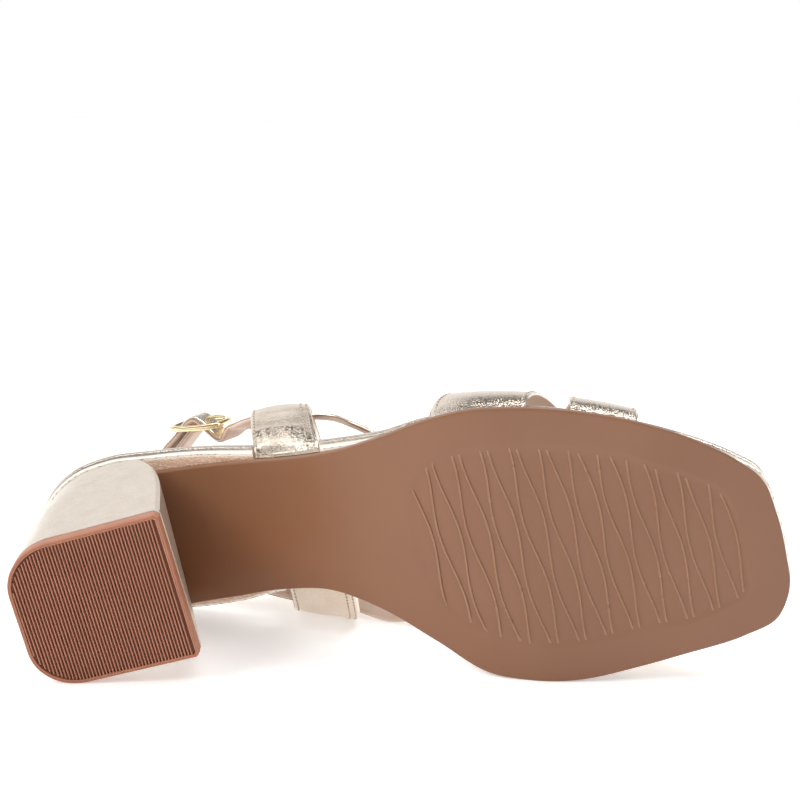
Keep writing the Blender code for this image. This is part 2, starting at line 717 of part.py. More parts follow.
def wire(points, radius, sides, closed=False):
    """Round bar along points, as a bmesh."""
    curve = bpy.data.curves.new("wire", "CURVE")
    curve.dimensions = "3D"
    curve.bevel_depth = radius
    curve.bevel_resolution = sides
    curve.use_fill_caps = not closed
    spline = curve.splines.new("POLY")
    spline.points.add(len(points) - 1)
    for target, point in zip(spline.points, points):
        target.co = (*point, 1.0)
    spline.use_cyclic_u = closed
    return curve_mesh(curve)


def buckle_loop():
    """Middle line of the buckle's frame."""
    power = 2.0 / BUCKLE_SQUARENESS
    points = []
    for turn in np.linspace(0.0, 2 * math.pi, BUCKLE_POINTS, endpoint=False):
        along = BUCKLE_HALF_LONG * signed_power(math.cos(turn), power)
        points.append(buckle_point(along, 0.0, BUCKLE_HALF_WIDE * signed_power(math.sin(turn), power)))
    return points


def build_sling(parts, cutters, parent):
    """Thin strap with the hole that the prong goes through, and the buckle."""
    strap = add_object("sling_strap", loft(sling_rings()), parts, parent)
    prong_line = smooth_chain([buckle_point(*knot) for knot in PRONG_LINE], 3)
    hole_line = [buckle_point(*HOLE_START), *prong_line]
    hole = make_cutter(add_object("prong_hole_tool", wire(hole_line, PRONG_HOLE, 2), cutters, parent))
    add_boolean(strap, hole, "DIFFERENCE")
    add_material(strap, GOLD_LEATHER)
    frame = add_object("buckle_frame", wire(buckle_loop(), BUCKLE_WIRE, 2, closed=True), parts, parent)
    ends = [buckle_point(0.0, 0.0, side * BUCKLE_HALF_WIDE) for side in (-1, 1)]
    bar = make_cutter(add_object("bar_tool", wire(ends, BAR_RADIUS, 2), cutters, parent))
    add_boolean(frame, bar, "UNION")
    add_material(frame, GILT)
    prong = add_object("buckle_prong", wire(prong_line, PRONG_RADIUS, 2), parts, parent)
    add_material(prong, GILT)


def evaluated_points(name):
    """Vertices of a finished part in the shoe's own axes, in metres."""
    part = bpy.data.objects[name].evaluated_get(bpy.context.evaluated_depsgraph_get())
    mesh = part.to_mesh()
    points = np.array([vert.co for vert in mesh.vertices])
    part.to_mesh_clear()
    return points


def resting_matrix(names):
    """Turns and moves the shoe so that it lies on its medial side, centred on the floor."""
    supports = [evaluated_points(name) for name in ("top_lift", "outsole", "side_tab_medial")]
    down = np.array((0.0, 1.0, 0.0))
    for _ in range(SETTLE_ROUNDS):
        heel, ball, tab = (points[np.argmax(points @ down)] for points in supports)
        down = np.cross(tab - heel, ball - heel)
        down = down / np.linalg.norm(down)
        down = down if down[1] > 0 else -down
    up = -Vector(down)
    away = (Vector((0, 0, 1)) - up * up.z).normalized()
    turn = Matrix((away.cross(up), away, up))
    cloud = np.vstack([evaluated_points(name) for name in names]) @ np.array(turn).T
    low, high = cloud.min(axis=0), cloud.max(axis=0)
    shift = Vector((-(low[0] + high[0]) / 2, -(low[1] + high[1]) / 2, -low[2]))
    return Matrix.Translation(shift) @ turn.to_4x4()


def main():
    """Builds the sandal in its own axes and lays it on its side."""
    for old in list(bpy.data.objects):
        bpy.data.objects.remove(old)
    parts = bpy.data.collections.new("slingback_sandal")
    cutters = bpy.data.collections.new("sandal_cutters")
    for collection in (parts, cutters):
        bpy.context.scene.collection.children.link(collection)
    shoe = bpy.data.objects.new("shoe_axes", None)
    parts.objects.link(shoe)
    build_sole(parts, shoe)
    build_heel(parts, shoe)
    build_vamp(parts, cutters, shoe)
    build_tabs(parts, cutters, shoe)
    build_sling(parts, cutters, shoe)
    names = [part.name for part in parts.objects if part.type == "MESH"]
    shoe.matrix_world = resting_matrix(names)


main()
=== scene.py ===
"""Looks of a right slingback sandal that lies on its medial side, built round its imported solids.

Every piece is modelled in the shoe's own axes, in millimetres: x runs to the toe, y to the medial
(big-toe) side and z up from the floor that the shoe is worn on. Finished pieces are carried to the frame's
own metres.
"""

import json
import logging
import math
from collections.abc import Callable, Sequence
from dataclasses import dataclass, field
from enum import Enum
from typing import NamedTuple

import bpy
import numpy as np
from mathutils import Matrix, Vector

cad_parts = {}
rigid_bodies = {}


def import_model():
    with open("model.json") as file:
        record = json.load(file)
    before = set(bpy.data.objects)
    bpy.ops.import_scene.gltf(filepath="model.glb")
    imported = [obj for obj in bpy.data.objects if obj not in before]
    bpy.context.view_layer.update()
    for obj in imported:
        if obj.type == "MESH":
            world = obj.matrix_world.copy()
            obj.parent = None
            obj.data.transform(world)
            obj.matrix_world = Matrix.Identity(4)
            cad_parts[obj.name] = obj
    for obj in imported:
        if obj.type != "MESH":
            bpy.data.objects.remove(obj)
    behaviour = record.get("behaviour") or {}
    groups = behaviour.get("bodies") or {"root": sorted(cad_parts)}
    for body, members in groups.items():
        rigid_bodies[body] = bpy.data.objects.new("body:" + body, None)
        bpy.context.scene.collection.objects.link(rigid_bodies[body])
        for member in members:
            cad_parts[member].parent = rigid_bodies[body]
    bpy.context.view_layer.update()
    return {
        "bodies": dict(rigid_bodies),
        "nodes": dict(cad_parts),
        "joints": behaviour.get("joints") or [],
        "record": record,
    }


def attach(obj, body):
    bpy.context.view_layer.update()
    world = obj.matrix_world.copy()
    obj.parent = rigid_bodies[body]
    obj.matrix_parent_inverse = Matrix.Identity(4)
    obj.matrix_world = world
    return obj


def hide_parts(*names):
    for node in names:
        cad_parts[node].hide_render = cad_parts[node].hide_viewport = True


Array = np.ndarray
OfShares = Callable[[Array, Array], Array]
Pairs = tuple[tuple[float, float], ...]
Piece = bpy.types.Object

MM = 0.001
BODY = "root"
# The curve s(1 - s)(1 - s) is at most 4/27
SWELL_PEAK = 27.0 / 4.0
# Height of the low ridges beside a crease, as a share of its depth
CREASE_RIDGE = 0.35
LOG = logging.getLogger("sandal")


def ease(value: Array | float) -> Array:
    """Smooth step from 0 to 1."""
    value = np.clip(value, 0.0, 1.0)
    return value * value * (3.0 - 2.0 * value)


def signed_power(value: Array, power: float) -> Array:
    """Power of a number's size, with the number's own sign."""
    return np.sign(value) * np.abs(value) ** power


def unit(vectors: Array) -> Array:
    """Vectors of length one along the given ones."""
    return vectors / np.maximum(np.linalg.norm(vectors, axis=-1, keepdims=True), 1e-9)


def hermite(start: Array, end: Array, slope: Array, end_slope: Array, span: Array, share: Array) -> Array:
    """Point of a cubic span at a share of its length.

    Args:
        start: Value at the start.
        end: Value at the end.
        slope: Slope at the start.
        end_slope: Slope at the end.
        span: Length of the span.
        share: Share of the length, from 0 to 1.

    Returns:
        Value at that share.
    """
    square = share * share
    cube = square * share
    return (
        start * (2 * cube - 3 * square + 1)
        + end * (3 * square - 2 * cube)
        + slope * span * (cube - 2 * square + share)
        + end_slope * span * (cube - square)
    )


class Line:
    """Smooth function through a table's rows that never overshoots them."""

    def __init__(self, rows: Sequence[tuple[float, float]]) -> None:
        """Works out the tangent at each row.

        Args:
            rows: Place and value, in rising order of place.
        """
        self.places, self.values = (np.array(column, float) for column in zip(*rows))
        self.spans = np.diff(self.places)
        slopes = np.diff(self.values) / self.spans
        product = slopes[:-1] * slopes[1:]
        total = np.where(product > 0, slopes[:-1] + slopes[1:], 1.0)
        inner = np.where(product > 0, 2 * product / total, 0.0)
        self.tangents = np.concatenate(([slopes[0]], inner, [slopes[-1]]))

    def __call__(self, place: Array | float) -> Array:
        """Value at a place, held at both ends.

        Args:
            place: One place or many.

        Returns:
            The value at each place.
        """
        place = np.clip(place, self.places[0], self.places[-1])
        i = np.clip(np.searchsorted(self.places, place) - 1, 0, len(self.spans) - 1)
        share = (place - self.places[i]) / self.spans[i]
        values, tangents = self.values, self.tangents
        return hermite(values[i], values[i + 1], tangents[i], tangents[i + 1], self.spans[i], share)


def smooth_chain(knots: Sequence[Sequence[float]], per_span: int, closed: bool = False) -> Array:
    """Points of a smooth curve through knots, which may carry more columns than their place.

    Args:
        knots: Place first, then any other columns.
        per_span: Points on each span.
        closed: Whether the last knot joins the first.

    Returns:
        One row for each point.
    """
    rows = np.array(knots, float)
    following = np.roll(rows, -1, axis=0)
    spans = np.linalg.norm((following - rows)[:, :3], axis=1)[:, None]
    slopes = (following - rows) / spans
    before, slopes_before = np.roll(spans, 1, axis=0), np.roll(slopes, 1, axis=0)
    tangents = (slopes_before * spans + slopes * before) / (spans + before)
    if not closed:
        tangents[0], tangents[-1] = slopes[0], slopes_before[-1]
    shares = np.arange(per_span)[:, None] / per_span
    points = []
    for i in range(len(rows) if closed else len(rows) - 1):
        j = (i + 1) % len(rows)
        points.append(hermite(rows[i], rows[j], tangents[i], tangents[j], spans[i], shares))
    if not closed:
        points.append(rows[-1:])
    return np.vstack(points)


def resample(points: Array, count: int) -> Array:
    """Points at equal steps along an open line, both ends kept.

    Args:
        points: The line's points.
        count: How many are wanted.

    Returns:
        The new points.
    """
    lengths = np.concatenate(([0.0], np.cumsum(np.linalg.norm(np.diff(points, axis=0), axis=1))))
    wanted = np.linspace(0.0, lengths[-1], count)
    return np.stack([np.interp(wanted, lengths, column) for column in points.T], axis=1)


class ShoeAxes:
    """The shoe's own axes in the frame, from the two flat faces that it is worn on."""

    heel = Vector((24.5, 0.6, 0.0))
    ball = Vector((174.0, 21.0, 0.0))

    def __init__(self, record: dict) -> None:
        """Reads the resting faces.

        Args:
            record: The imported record, with mounts heel_rest and forefoot_rest.
        """
        mounts = {mount["name"]: mount for mount in record["mounts"]}
        heel, ball = (Vector(mounts[name]["pos_m"]) for name in ("heel_rest", "forefoot_rest"))
        up = -Vector(mounts["heel_rest"]["axis"]).normalized()
        ahead = (ball - heel).normalized()
        ahead = (ahead - up * ahead.dot(up)).normalized()
        modelled = (self.ball - self.heel).normalized()
        self.turn = self.basis(ahead, up) @ self.basis(modelled, Vector((0, 0, 1))).transposed()
        self.shift = heel - self.turn @ (self.heel * MM)

    @staticmethod
    def basis(ahead: Vector, up: Vector) -> Matrix:
        """Matrix whose columns are a heading, its left side and up."""
        return Matrix((ahead, up.cross(ahead), up)).transposed()

    def place(self, points: Array) -> Array:
        """Frame metres of points in shoe millimetres."""
        return points * MM @ np.array(self.turn).T + np.array(self.shift)

    def direction(self, vector: Sequence[float]) -> Vector:
        """Frame direction of a direction in the shoe's axes."""
        return self.turn @ Vector(vector)


class Section(NamedTuple):
    """Edges of the outsole and of the insole board across the shoe."""

    x: float
    sole_lateral: float
    sole_medial: float
    board_lateral: float
    board_medial: float


class ToeKnot(NamedTuple):
    """A point of both outlines round the toe."""

    sole_x: float
    sole_y: float
    board_x: float
    board_y: float


class HeelRing(NamedTuple):
    """Heel outline at a share of its height."""

    share: float
    rear: float
    front: float
    front_medial: float
    lateral: float
    medial: float
    taper: float
    corner_x: float
    corner_y: float


class VampStrap(NamedTuple):
    """Where a wide strap leaves the sole, its widths, and how it climbs and leans."""

    name: str
    lateral_x: float
    medial_x: float
    lateral_width: float
    medial_width: float
    lift: float
    steady: float
    sway: float


class TabSide(NamedTuple):
    """Shape of a folded side tab."""

    name: str
    medial: bool
    crest_y: float
    crest_slope: float
    crest_curve: float
    top: float
    rake: float
    tuck: float
    strap_share: float
    strap_out: float
    twist: float


class RouteKnot(NamedTuple):
    """A place on the thin strap's route in the open, with the lean of its face in degrees."""

    x: float
    y: float
    z: float
    lean: float


@dataclass
class SoleForm:
    """Lines of the sole, the heel and the last."""

    outsole_thick: float = 3.0
    gap: float = 0.3
    board_foot: float = 3.3
    board_thick: float = 3.5
    footbed_foot: float = 7.1
    footbed_thick: float = 3.6
    upper_foot: float = 3.8
    lift_thick: float = 4.7
    breast_corner: float = 1.2
    last_squareness: float = 2.6
    last_skew: float = 0.16
    last_ease: float = 0.95
    lateral_bulge: float = 2.2
    medial_bulge: float = 0.6
    # Swell of the wide straps over the lateral edge, and the share of the way over that it takes up
    lateral_swell: float = 1.2
    swell_share: float = 0.24
    # Height of the outsole's underside, and of the last's crown over the footbed, along the shoe
    rise_rows: Pairs = (
        (-9, 60.2), (18, 57.4), (40, 54.2), (60, 46.3), (80, 34.4), (100, 21.4), (120, 9.8), (136, 2.9),
        (150, 0.2), (156, 0.0), (192, 0.0), (206, 0.7), (219, 2.4), (232, 5.2),
    )
    crown_rows: Pairs = ((125, 46), (145, 39), (165, 33), (185, 27), (205, 22))
    sections: tuple[Section, ...] = (
        Section(42, -21.4, 25.8, -26.3, 28.8),
        Section(58, -21.3, 24.9, -25.1, 28.5),
        Section(74, -21.1, 23.4, -23.4, 25.7),
        Section(90, -21.0, 24.2, -22.8, 25.6),
        Section(104, -22.2, 31.0, -23.1, 31.8),
        Section(118, -25.0, 42.4, -23.9, 41.2),
        Section(131, -28.0, 54.1, -26.2, 51.5),
        Section(144, -28.7, 59.0, -26.8, 56.1),
        Section(158, -26.0, 62.2, -24.2, 59.3),
        Section(176, -19.9, 62.9, -17.9, 60.0),
        Section(192, -12.4, 62.6, -10.4, 60.0),
    )
    toe: tuple[ToeKnot, ...] = (
        ToeKnot(208.0, -2.0, 208.0, -0.9),
        ToeKnot(219.5, 8.2, 220.2, 8.3),
        ToeKnot(225.2, 15.5, 226.6, 14.6),
        ToeKnot(227.8, 28.0, 229.6, 27.6),
        ToeKnot(228.2, 41.0, 230.2, 41.0),
        ToeKnot(226.8, 53.0, 228.4, 53.2),
        ToeKnot(221.5, 60.0, 222.2, 59.6),
        ToeKnot(210.0, 62.2, 209.5, 60.4),
    )
    # The board's outline round the heel seat
    seat: Pairs = (
        (30.0, 27.2), (19.0, 24.6), (9.0, 20.0), (0.8, 12.6), (-4.8, 1.5), (-2.6, -10.4), (4.4, -20.0),
        (13.0, -25.3), (26.0, -27.6),
    )
    breast_lateral: float = 40.8
    breast_medial: float = 39.2
    heel_rings: tuple[HeelRing, ...] = (
        HeelRing(0.0, 0.0, 49.0, 49.0, -22.4, 23.6, 1.0, 15.0, 13.5),
        HeelRing(0.5, -1.4, 46.9, 45.0, -24.5, 24.6, 1.2, 19.0, 17.0),
        HeelRing(0.8, -2.6, 43.6, 41.6, -26.0, 25.3, 1.4, 25.0, 22.0),
        HeelRing(1.0, -3.6, 38.2, 36.6, -26.8, 25.8, 1.5, 30.0, 25.0),
    )
    per_span: int = 12

    def __post_init__(self) -> None:
        """Works out the curves through the tables."""
        self.rise = Line(self.rise_rows)
        self.crown = Line(self.crown_rows)
        rows = self.sections
        toe = [(knot.board_x, knot.board_y) for knot in self.toe]
        lateral = [(row.x, row.board_lateral) for row in rows]
        medial = [(row.x, row.board_medial) for row in reversed(rows)]
        self.board = smooth_chain(lateral + toe + medial + list(self.seat), self.per_span, closed=True)
        toe = [(knot.sole_x, knot.sole_y) for knot in self.toe]
        lateral = [(row.x, row.sole_lateral) for row in rows]
        medial = [(row.x, row.sole_medial) for row in reversed(rows)]
        lateral[0] = (self.breast_lateral, lateral[0][1])
        medial[-1] = (self.breast_medial, medial[-1][1])
        self.sole = smooth_chain(lateral + toe + medial, self.per_span)

    def height(self, x: Array | float, level: Array | float) -> Array:
        """Height over the worn floor of the surface a level above the outsole's underside."""
        slope = self.rise(x + 0.5) - self.rise(x - 0.5)
        return self.rise(x) + level * np.sqrt(1.0 + slope * slope)

    def edge(self, loop: Array, x: Array | float, medial: bool) -> Array:
        """Side position of a loop's lateral or medial edge.

        Args:
            loop: The sole or the board.
            x: Positions along the shoe.
            medial: Which edge.

        Returns:
            The edge's y at each x.
        """
        count = len(self.sections)
        first = (count + len(self.toe) - 1) * self.per_span if medial else 0
        part = loop[first : first + count * self.per_span + 1]
        part = part[::-1] if medial else part
        return np.interp(x, part[:, 0], part[:, 1])

    def heel_ring(self, share: float, arc: int = 18, side: int = 6) -> Array:
        """Heel outline at a share of its height, from the lateral front corner round the rear.

        Args:
            share: Share of the height, from the top lift up.
            arc: Points on each rear corner.
            side: Points on each straight side and on the breast.

        Returns:
            Points in x and y.
        """
        columns = list(zip(*self.heel_rings))
        values = [float(Line(list(zip(columns[0], column)))(share)) for column in columns[1:]]
        ring = HeelRing(share, *values)
        turn = np.linspace(0.0, math.pi / 2, arc)
        x = ring.rear + ring.corner_x * (1 - np.sin(turn))
        in_from_side = ring.corner_y * (1 - np.cos(turn))
        lateral = np.stack([x, ring.lateral + in_from_side], axis=1)
        medial = np.stack([x, ring.medial - ring.taper - in_from_side], axis=1)[::-1]
        corner = self.breast_corner
        front = np.array([[ring.front - corner, ring.lateral]])
        front_medial = np.array([[ring.front_medial - corner, ring.medial]])
        lateral_side = resample(np.vstack([front, lateral[:1]]), side)[:-1]
        medial_side = resample(np.vstack([medial[-1:], front_medial]), side)[1:]
        breast = np.array([[ring.front_medial, ring.medial - corner], [ring.front, ring.lateral + corner]])
        return np.vstack([lateral_side, lateral, medial, medial_side, resample(breast, side)])

    def last(self, x: Array, share: Array, lift: Array) -> Array:
        """Points on the last over the sole.

        Args:
            x: Positions along the shoe.
            share: Shares of the way over, from the lateral edge (0) to the medial edge (1).
            lift: Heights over the last.

        Returns:
            Points in shoe millimetres.
        """
        lateral, medial = (self.edge(self.board, x, side) for side in (False, True))
        half = (medial - lateral) / 2 + self.last_ease + lift
        base = self.height(x, self.upper_foot)
        height = self.height(x, self.footbed_foot + self.footbed_thick) + self.crown(x) + lift - base
        turn = math.pi * share
        power = 2.0 / self.last_squareness
        bulge = np.where(share < 0.5, self.lateral_bulge, self.medial_bulge)
        low = np.clip(share / self.swell_share, 0.0, 1.0)
        swell = self.lateral_swell * SWELL_PEAK * low * (1.0 - low) ** 2
        across = -half * signed_power(np.cos(turn), power) - bulge * np.sin(2 * turn) - swell
        up = np.maximum(np.sin(turn), 0.0) ** power * (1.0 - self.last_skew * np.cos(turn))
        return np.stack([x, (lateral + medial) / 2 + across, base + height * up], axis=-1)


@dataclass
class StrapForm:
    """Lines of the side tabs, the buckle and the thin strap's route."""

    sole: SoleForm
    tab_rear: float = 76.0
    tab_front: float = 98.0
    tab_rear_taper: float = 1.0
    tab_front_taper: float = 2.4
    tab_leather: float = 1.3
    tab_room: float = 1.6
    tab_opens: float = 0.44
    tab_opening: float = 0.2
    tab_inset: float = 1.55
    tab_fold: float = 0.08
    tuck_start: float = 0.5
    tab_pass: tuple[float, ...] = (-0.05, 0.32, 0.68, 1.05)
    sling_width: float = 9.0
    sling_thick: float = 2.2
    lateral_tab: TabSide = TabSide(
        "side_tab_lateral",
        medial=False,
        crest_y=-27.6,
        crest_slope=0.083,
        crest_curve=0.0113,
        top=82.0,
        rake=0.0,
        tuck=15.0,
        strap_share=0.7,
        strap_out=0.4,
        twist=14.0,
    )
    medial_tab: TabSide = TabSide(
        "side_tab_medial",
        medial=True,
        crest_y=40.75,
        crest_slope=0.28,
        crest_curve=-0.008,
        top=77.0,
        rake=-6.5,
        tuck=7.0,
        strap_share=0.7,
        strap_out=0.0,
        twist=0.0,
    )
    # Bulge at shares of a tab's height; the lateral tab's is shaped for how its foil catches the light
    medial_bulge_rows: Pairs = (
        (0.0, 0.0), (0.08, 0.0), (0.14, 0.24), (0.19, 0.46), (0.24, 0.66), (0.29, 0.8), (0.35, 0.87),
        (0.44, 0.89), (0.53, 0.96), (0.62, 1.0), (0.8, 0.97), (1.0, 0.9),
    )
    lateral_bulge_rows: Pairs = (
        (0.0, 0.0), (0.08, 0.0), (0.14, 0.313), (0.19, 0.52), (0.24, 0.69), (0.29, 0.816), (0.35, 0.83),
        (0.44, 0.812), (0.53, 0.926), (0.62, 1.02), (0.8, 0.98), (1.0, 0.9),
    )
    heel_route: tuple[RouteKnot, ...] = (
        RouteKnot(27.0, -4.0, 96.5, 0),
        RouteKnot(14.0, -1.0, 104.0, 0),
        RouteKnot(3.0, 4.5, 109.5, 0),
        RouteKnot(-1.0, 11.5, 110.5, 0),
        RouteKnot(5.5, 18.2, 107.5, 0),
        RouteKnot(19.0, 21.6, 101.0, 0),
        RouteKnot(37.0, 23.6, 90.5, 6),
        RouteKnot(50.0, 25.4, 80.5, 16),
        RouteKnot(60.5, 28.2, 71.5, 28),
    )
    instep_route: tuple[RouteKnot, ...] = (
        RouteKnot(97.5, 43.0, 59.8, 40),
        RouteKnot(107.0, 46.2, 54.5, 40),
        RouteKnot(116.0, 45.2, 51.0, 38),
        RouteKnot(123.5, 39.0, 51.0, 38),
        RouteKnot(128.5, 27.0, 56.5, 42),
        RouteKnot(129.0, 12.5, 65.0, 38),
        RouteKnot(124.5, -1.0, 72.0, 24),
        RouteKnot(116.0, -8.8, 75.0, 6),
        RouteKnot(106.5, -17.2, 73.0, 8),
    )
    buckle_route: tuple[RouteKnot, ...] = (RouteKnot(69.4, -24.0, 77.5, 40),)
    # The thin strap's ends, along the buckle and out from it
    heel_end: Pairs = (
        (-1.5, -1.4), (-4.5, -3.9), (-8.2, -7.1), (-12.4, -10.4), (-16.5, -13.8), (-20.5, -17.0),
    )
    free_end: Pairs = (
        (9.5, -5.2), (5.2, -2.0), (2.4, 1.2), (0.0, 2.6), (-2.4, 1.9), (-5.2, -0.3), (-8.5, -3.1),
        (-12.8, -6.2), (-17.0, -9.6), (-20.0, -12.0),
    )
    buckle_centre: tuple[float, float, float] = (56.5, -26.7, 85.0)
    buckle_heading: tuple[float, float, float] = (0.88, 0.05, -0.47)
    buckle_lean: float = 6.0

    def __post_init__(self) -> None:
        """Works out the bulge of the tabs and the buckle's directions."""
        self.bulge = {True: Line(self.medial_bulge_rows), False: Line(self.lateral_bulge_rows)}
        along = unit(np.array(self.buckle_heading))
        across = unit(np.cross(along, self.face(-along, self.buckle_lean)))
        self.buckle_axes = np.stack([along, np.cross(across, along), across])

    @staticmethod
    def face(ahead: Array, lean: float) -> Array:
        """Direction that a strap's outer face looks.

        Args:
            ahead: The strap's heading.
            lean: Lean of its face from upright, in degrees.

        Returns:
            A direction of length one.
        """
        upright = np.array((0.0, 0.0, 1.0))
        outward = unit(np.cross(upright, ahead))
        return outward * math.cos(math.radians(lean)) + upright * math.sin(math.radians(lean))

    def at_buckle(self, along: Array | float, out: Array | float, across: Array | float = 0.0) -> Array:
        """Place given in the buckle's own directions."""
        parts = np.stack(np.broadcast_arrays(along, out, across), axis=-1).astype(float)
        return np.array(self.buckle_centre) + parts @ self.buckle_axes

    def tab_x(self, tab: TabSide, across: Array, share: Array) -> Array:
        """Position along the shoe of a tab's points.

        Args:
            tab: Which tab.
            across: Shares from its rear edge to its front edge.
            share: Shares of its height.

        Returns:
            The x of each point.
        """
        rear = self.tab_rear + (tab.rake + self.tab_rear_taper) * share
        front = self.tab_front + (tab.rake - self.tab_front_taper) * share
        return rear + (front - rear) * across

    def tab_middle(self, tab: TabSide, x: Array, share: Array) -> tuple[Array, Array, Array]:
        """Middle of a folded tab with its outward and upward directions.

        Args:
            tab: Which tab.
            x: Positions along the shoe.
            share: Shares of the tab's height.

        Returns:
            Points, outward directions and upward directions.
        """
        side = 1.0 if tab.medial else -1.0
        edge = self.sole.edge(self.sole.sole, x, tab.medial) - side * self.tab_inset
        reach = x - (self.tab_rear + self.tab_front) / 2
        crest = tab.crest_y + tab.crest_slope * reach + tab.crest_curve * reach * reach
        base = self.sole.height(x, self.sole.upper_foot)
        step = 0.01

        def middle(part: Array) -> Array:
            """Middle of the tab.

            Args:
                part: Shares of its height.

            Returns:
                Points in shoe millimetres.
            """
            tuck = tab.tuck * np.maximum((part - self.tuck_start) / (1.0 - self.tuck_start), 0.0) ** 2
            y = edge + (crest - edge) * self.bulge[tab.medial](part) - side * tuck
            return np.stack([x, y, base + (tab.top - base) * part], axis=-1)

        upward = unit(middle(np.minimum(share + step, 1.0)) - middle(np.maximum(share - step, 0.0)))
        outward = np.stack([np.zeros_like(x), side * upward[..., 2], -side * upward[..., 1]], axis=-1)
        return middle(share), outward, upward

    def tab_surface(self, tab: TabSide) -> OfShares:
        """Middle surface of a folded tab: up the outside, over the strap, down the inside.

        Args:
            tab: Which tab.

        Returns:
            Function of the shares along the leather and across it.
        """
        leaf = 0.5 - self.tab_fold
        shut = self.sole.gap / 2 + self.tab_leather / 2
        round_strap = self.sling_thick / 2 + self.tab_room + self.tab_leather / 2

        def surface(along: Array, across: Array) -> Array:
            """Points of the folded leather.

            Args:
                along: Shares from the outer leaf's foot over the fold to the inner leaf's.
                across: Shares from the rear edge to the front edge.

            Returns:
                Points in shoe millimetres.
            """
            share = np.clip(np.minimum(along, 1.0 - along) / leaf, 0.0, 1.0)
            turn = math.pi * np.clip((along - leaf) / (2 * self.tab_fold), 0.0, 1.0)
            middle, outward, upward = self.tab_middle(tab, self.tab_x(tab, across, share), share)
            opened = ease((share - tab.strap_share + self.tab_opens) / self.tab_opening)
            spread = (shut + (round_strap - shut) * opened)[..., None]
            way = outward * np.cos(turn)[..., None] + upward * np.sin(turn)[..., None]
            return middle + way * spread

        return surface

    def tab_knots(self, tab: TabSide) -> list[tuple[float, ...]]:
        """Route of the thin strap inside a tab, from its rear to its front.

        Args:
            tab: Which tab.

        Returns:
            Place and face direction of each knot.
        """
        across = np.array(self.tab_pass)
        share = np.full_like(across, tab.strap_share)
        middle, outward, upward = self.tab_middle(tab, self.tab_x(tab, across, share), share)
        turn = np.radians(tab.twist * (1.0 - 2.0 * across))[:, None]
        faces = outward * np.cos(turn) + upward * np.sin(turn)
        return [(*place, *face) for place, face in zip(middle + outward * tab.strap_out, faces)]

    def open_knots(
        self, rows: Sequence[RouteKnot], before: Sequence[float], after: Sequence[float]
    ) -> list[tuple[float, ...]]:
        """Route of the thin strap in the open.

        Args:
            rows: Knots in the open.
            before: The knot before them.
            after: The knot after them.

        Returns:
            Place and face direction of each knot.
        """
        places = np.array([before[:3], *[row[:3] for row in rows], after[:3]], float)
        faces = [self.face(places[i + 2] - places[i], row.lean) for i, row in enumerate(rows)]
        return [(*places[i + 1], *face) for i, face in enumerate(faces)]

    def sling_line(self, per_span: int) -> tuple[Array, Array]:
        """Middle line of the thin strap with its across directions.

        Args:
            per_span: Points between two knots.

        Returns:
            Points and across directions.
        """
        out = self.buckle_axes[1]
        heel_end = [(*self.at_buckle(*row), *out) for row in self.heel_end]
        free_end = [(*self.at_buckle(*row), *out) for row in self.free_end]
        medial, lateral = self.tab_knots(self.medial_tab), self.tab_knots(self.lateral_tab)[::-1]
        route = heel_end + self.open_knots(self.heel_route, heel_end[-1], medial[0]) + medial
        route += self.open_knots(self.instep_route, medial[-1], lateral[0]) + lateral
        route += self.open_knots(self.buckle_route, lateral[-1], free_end[0]) + free_end
        points = smooth_chain(route, per_span)
        ahead = unit(np.gradient(points[:, :3], axis=0))
        return points[:, :3], unit(np.cross(ahead, points[:, 3:]))


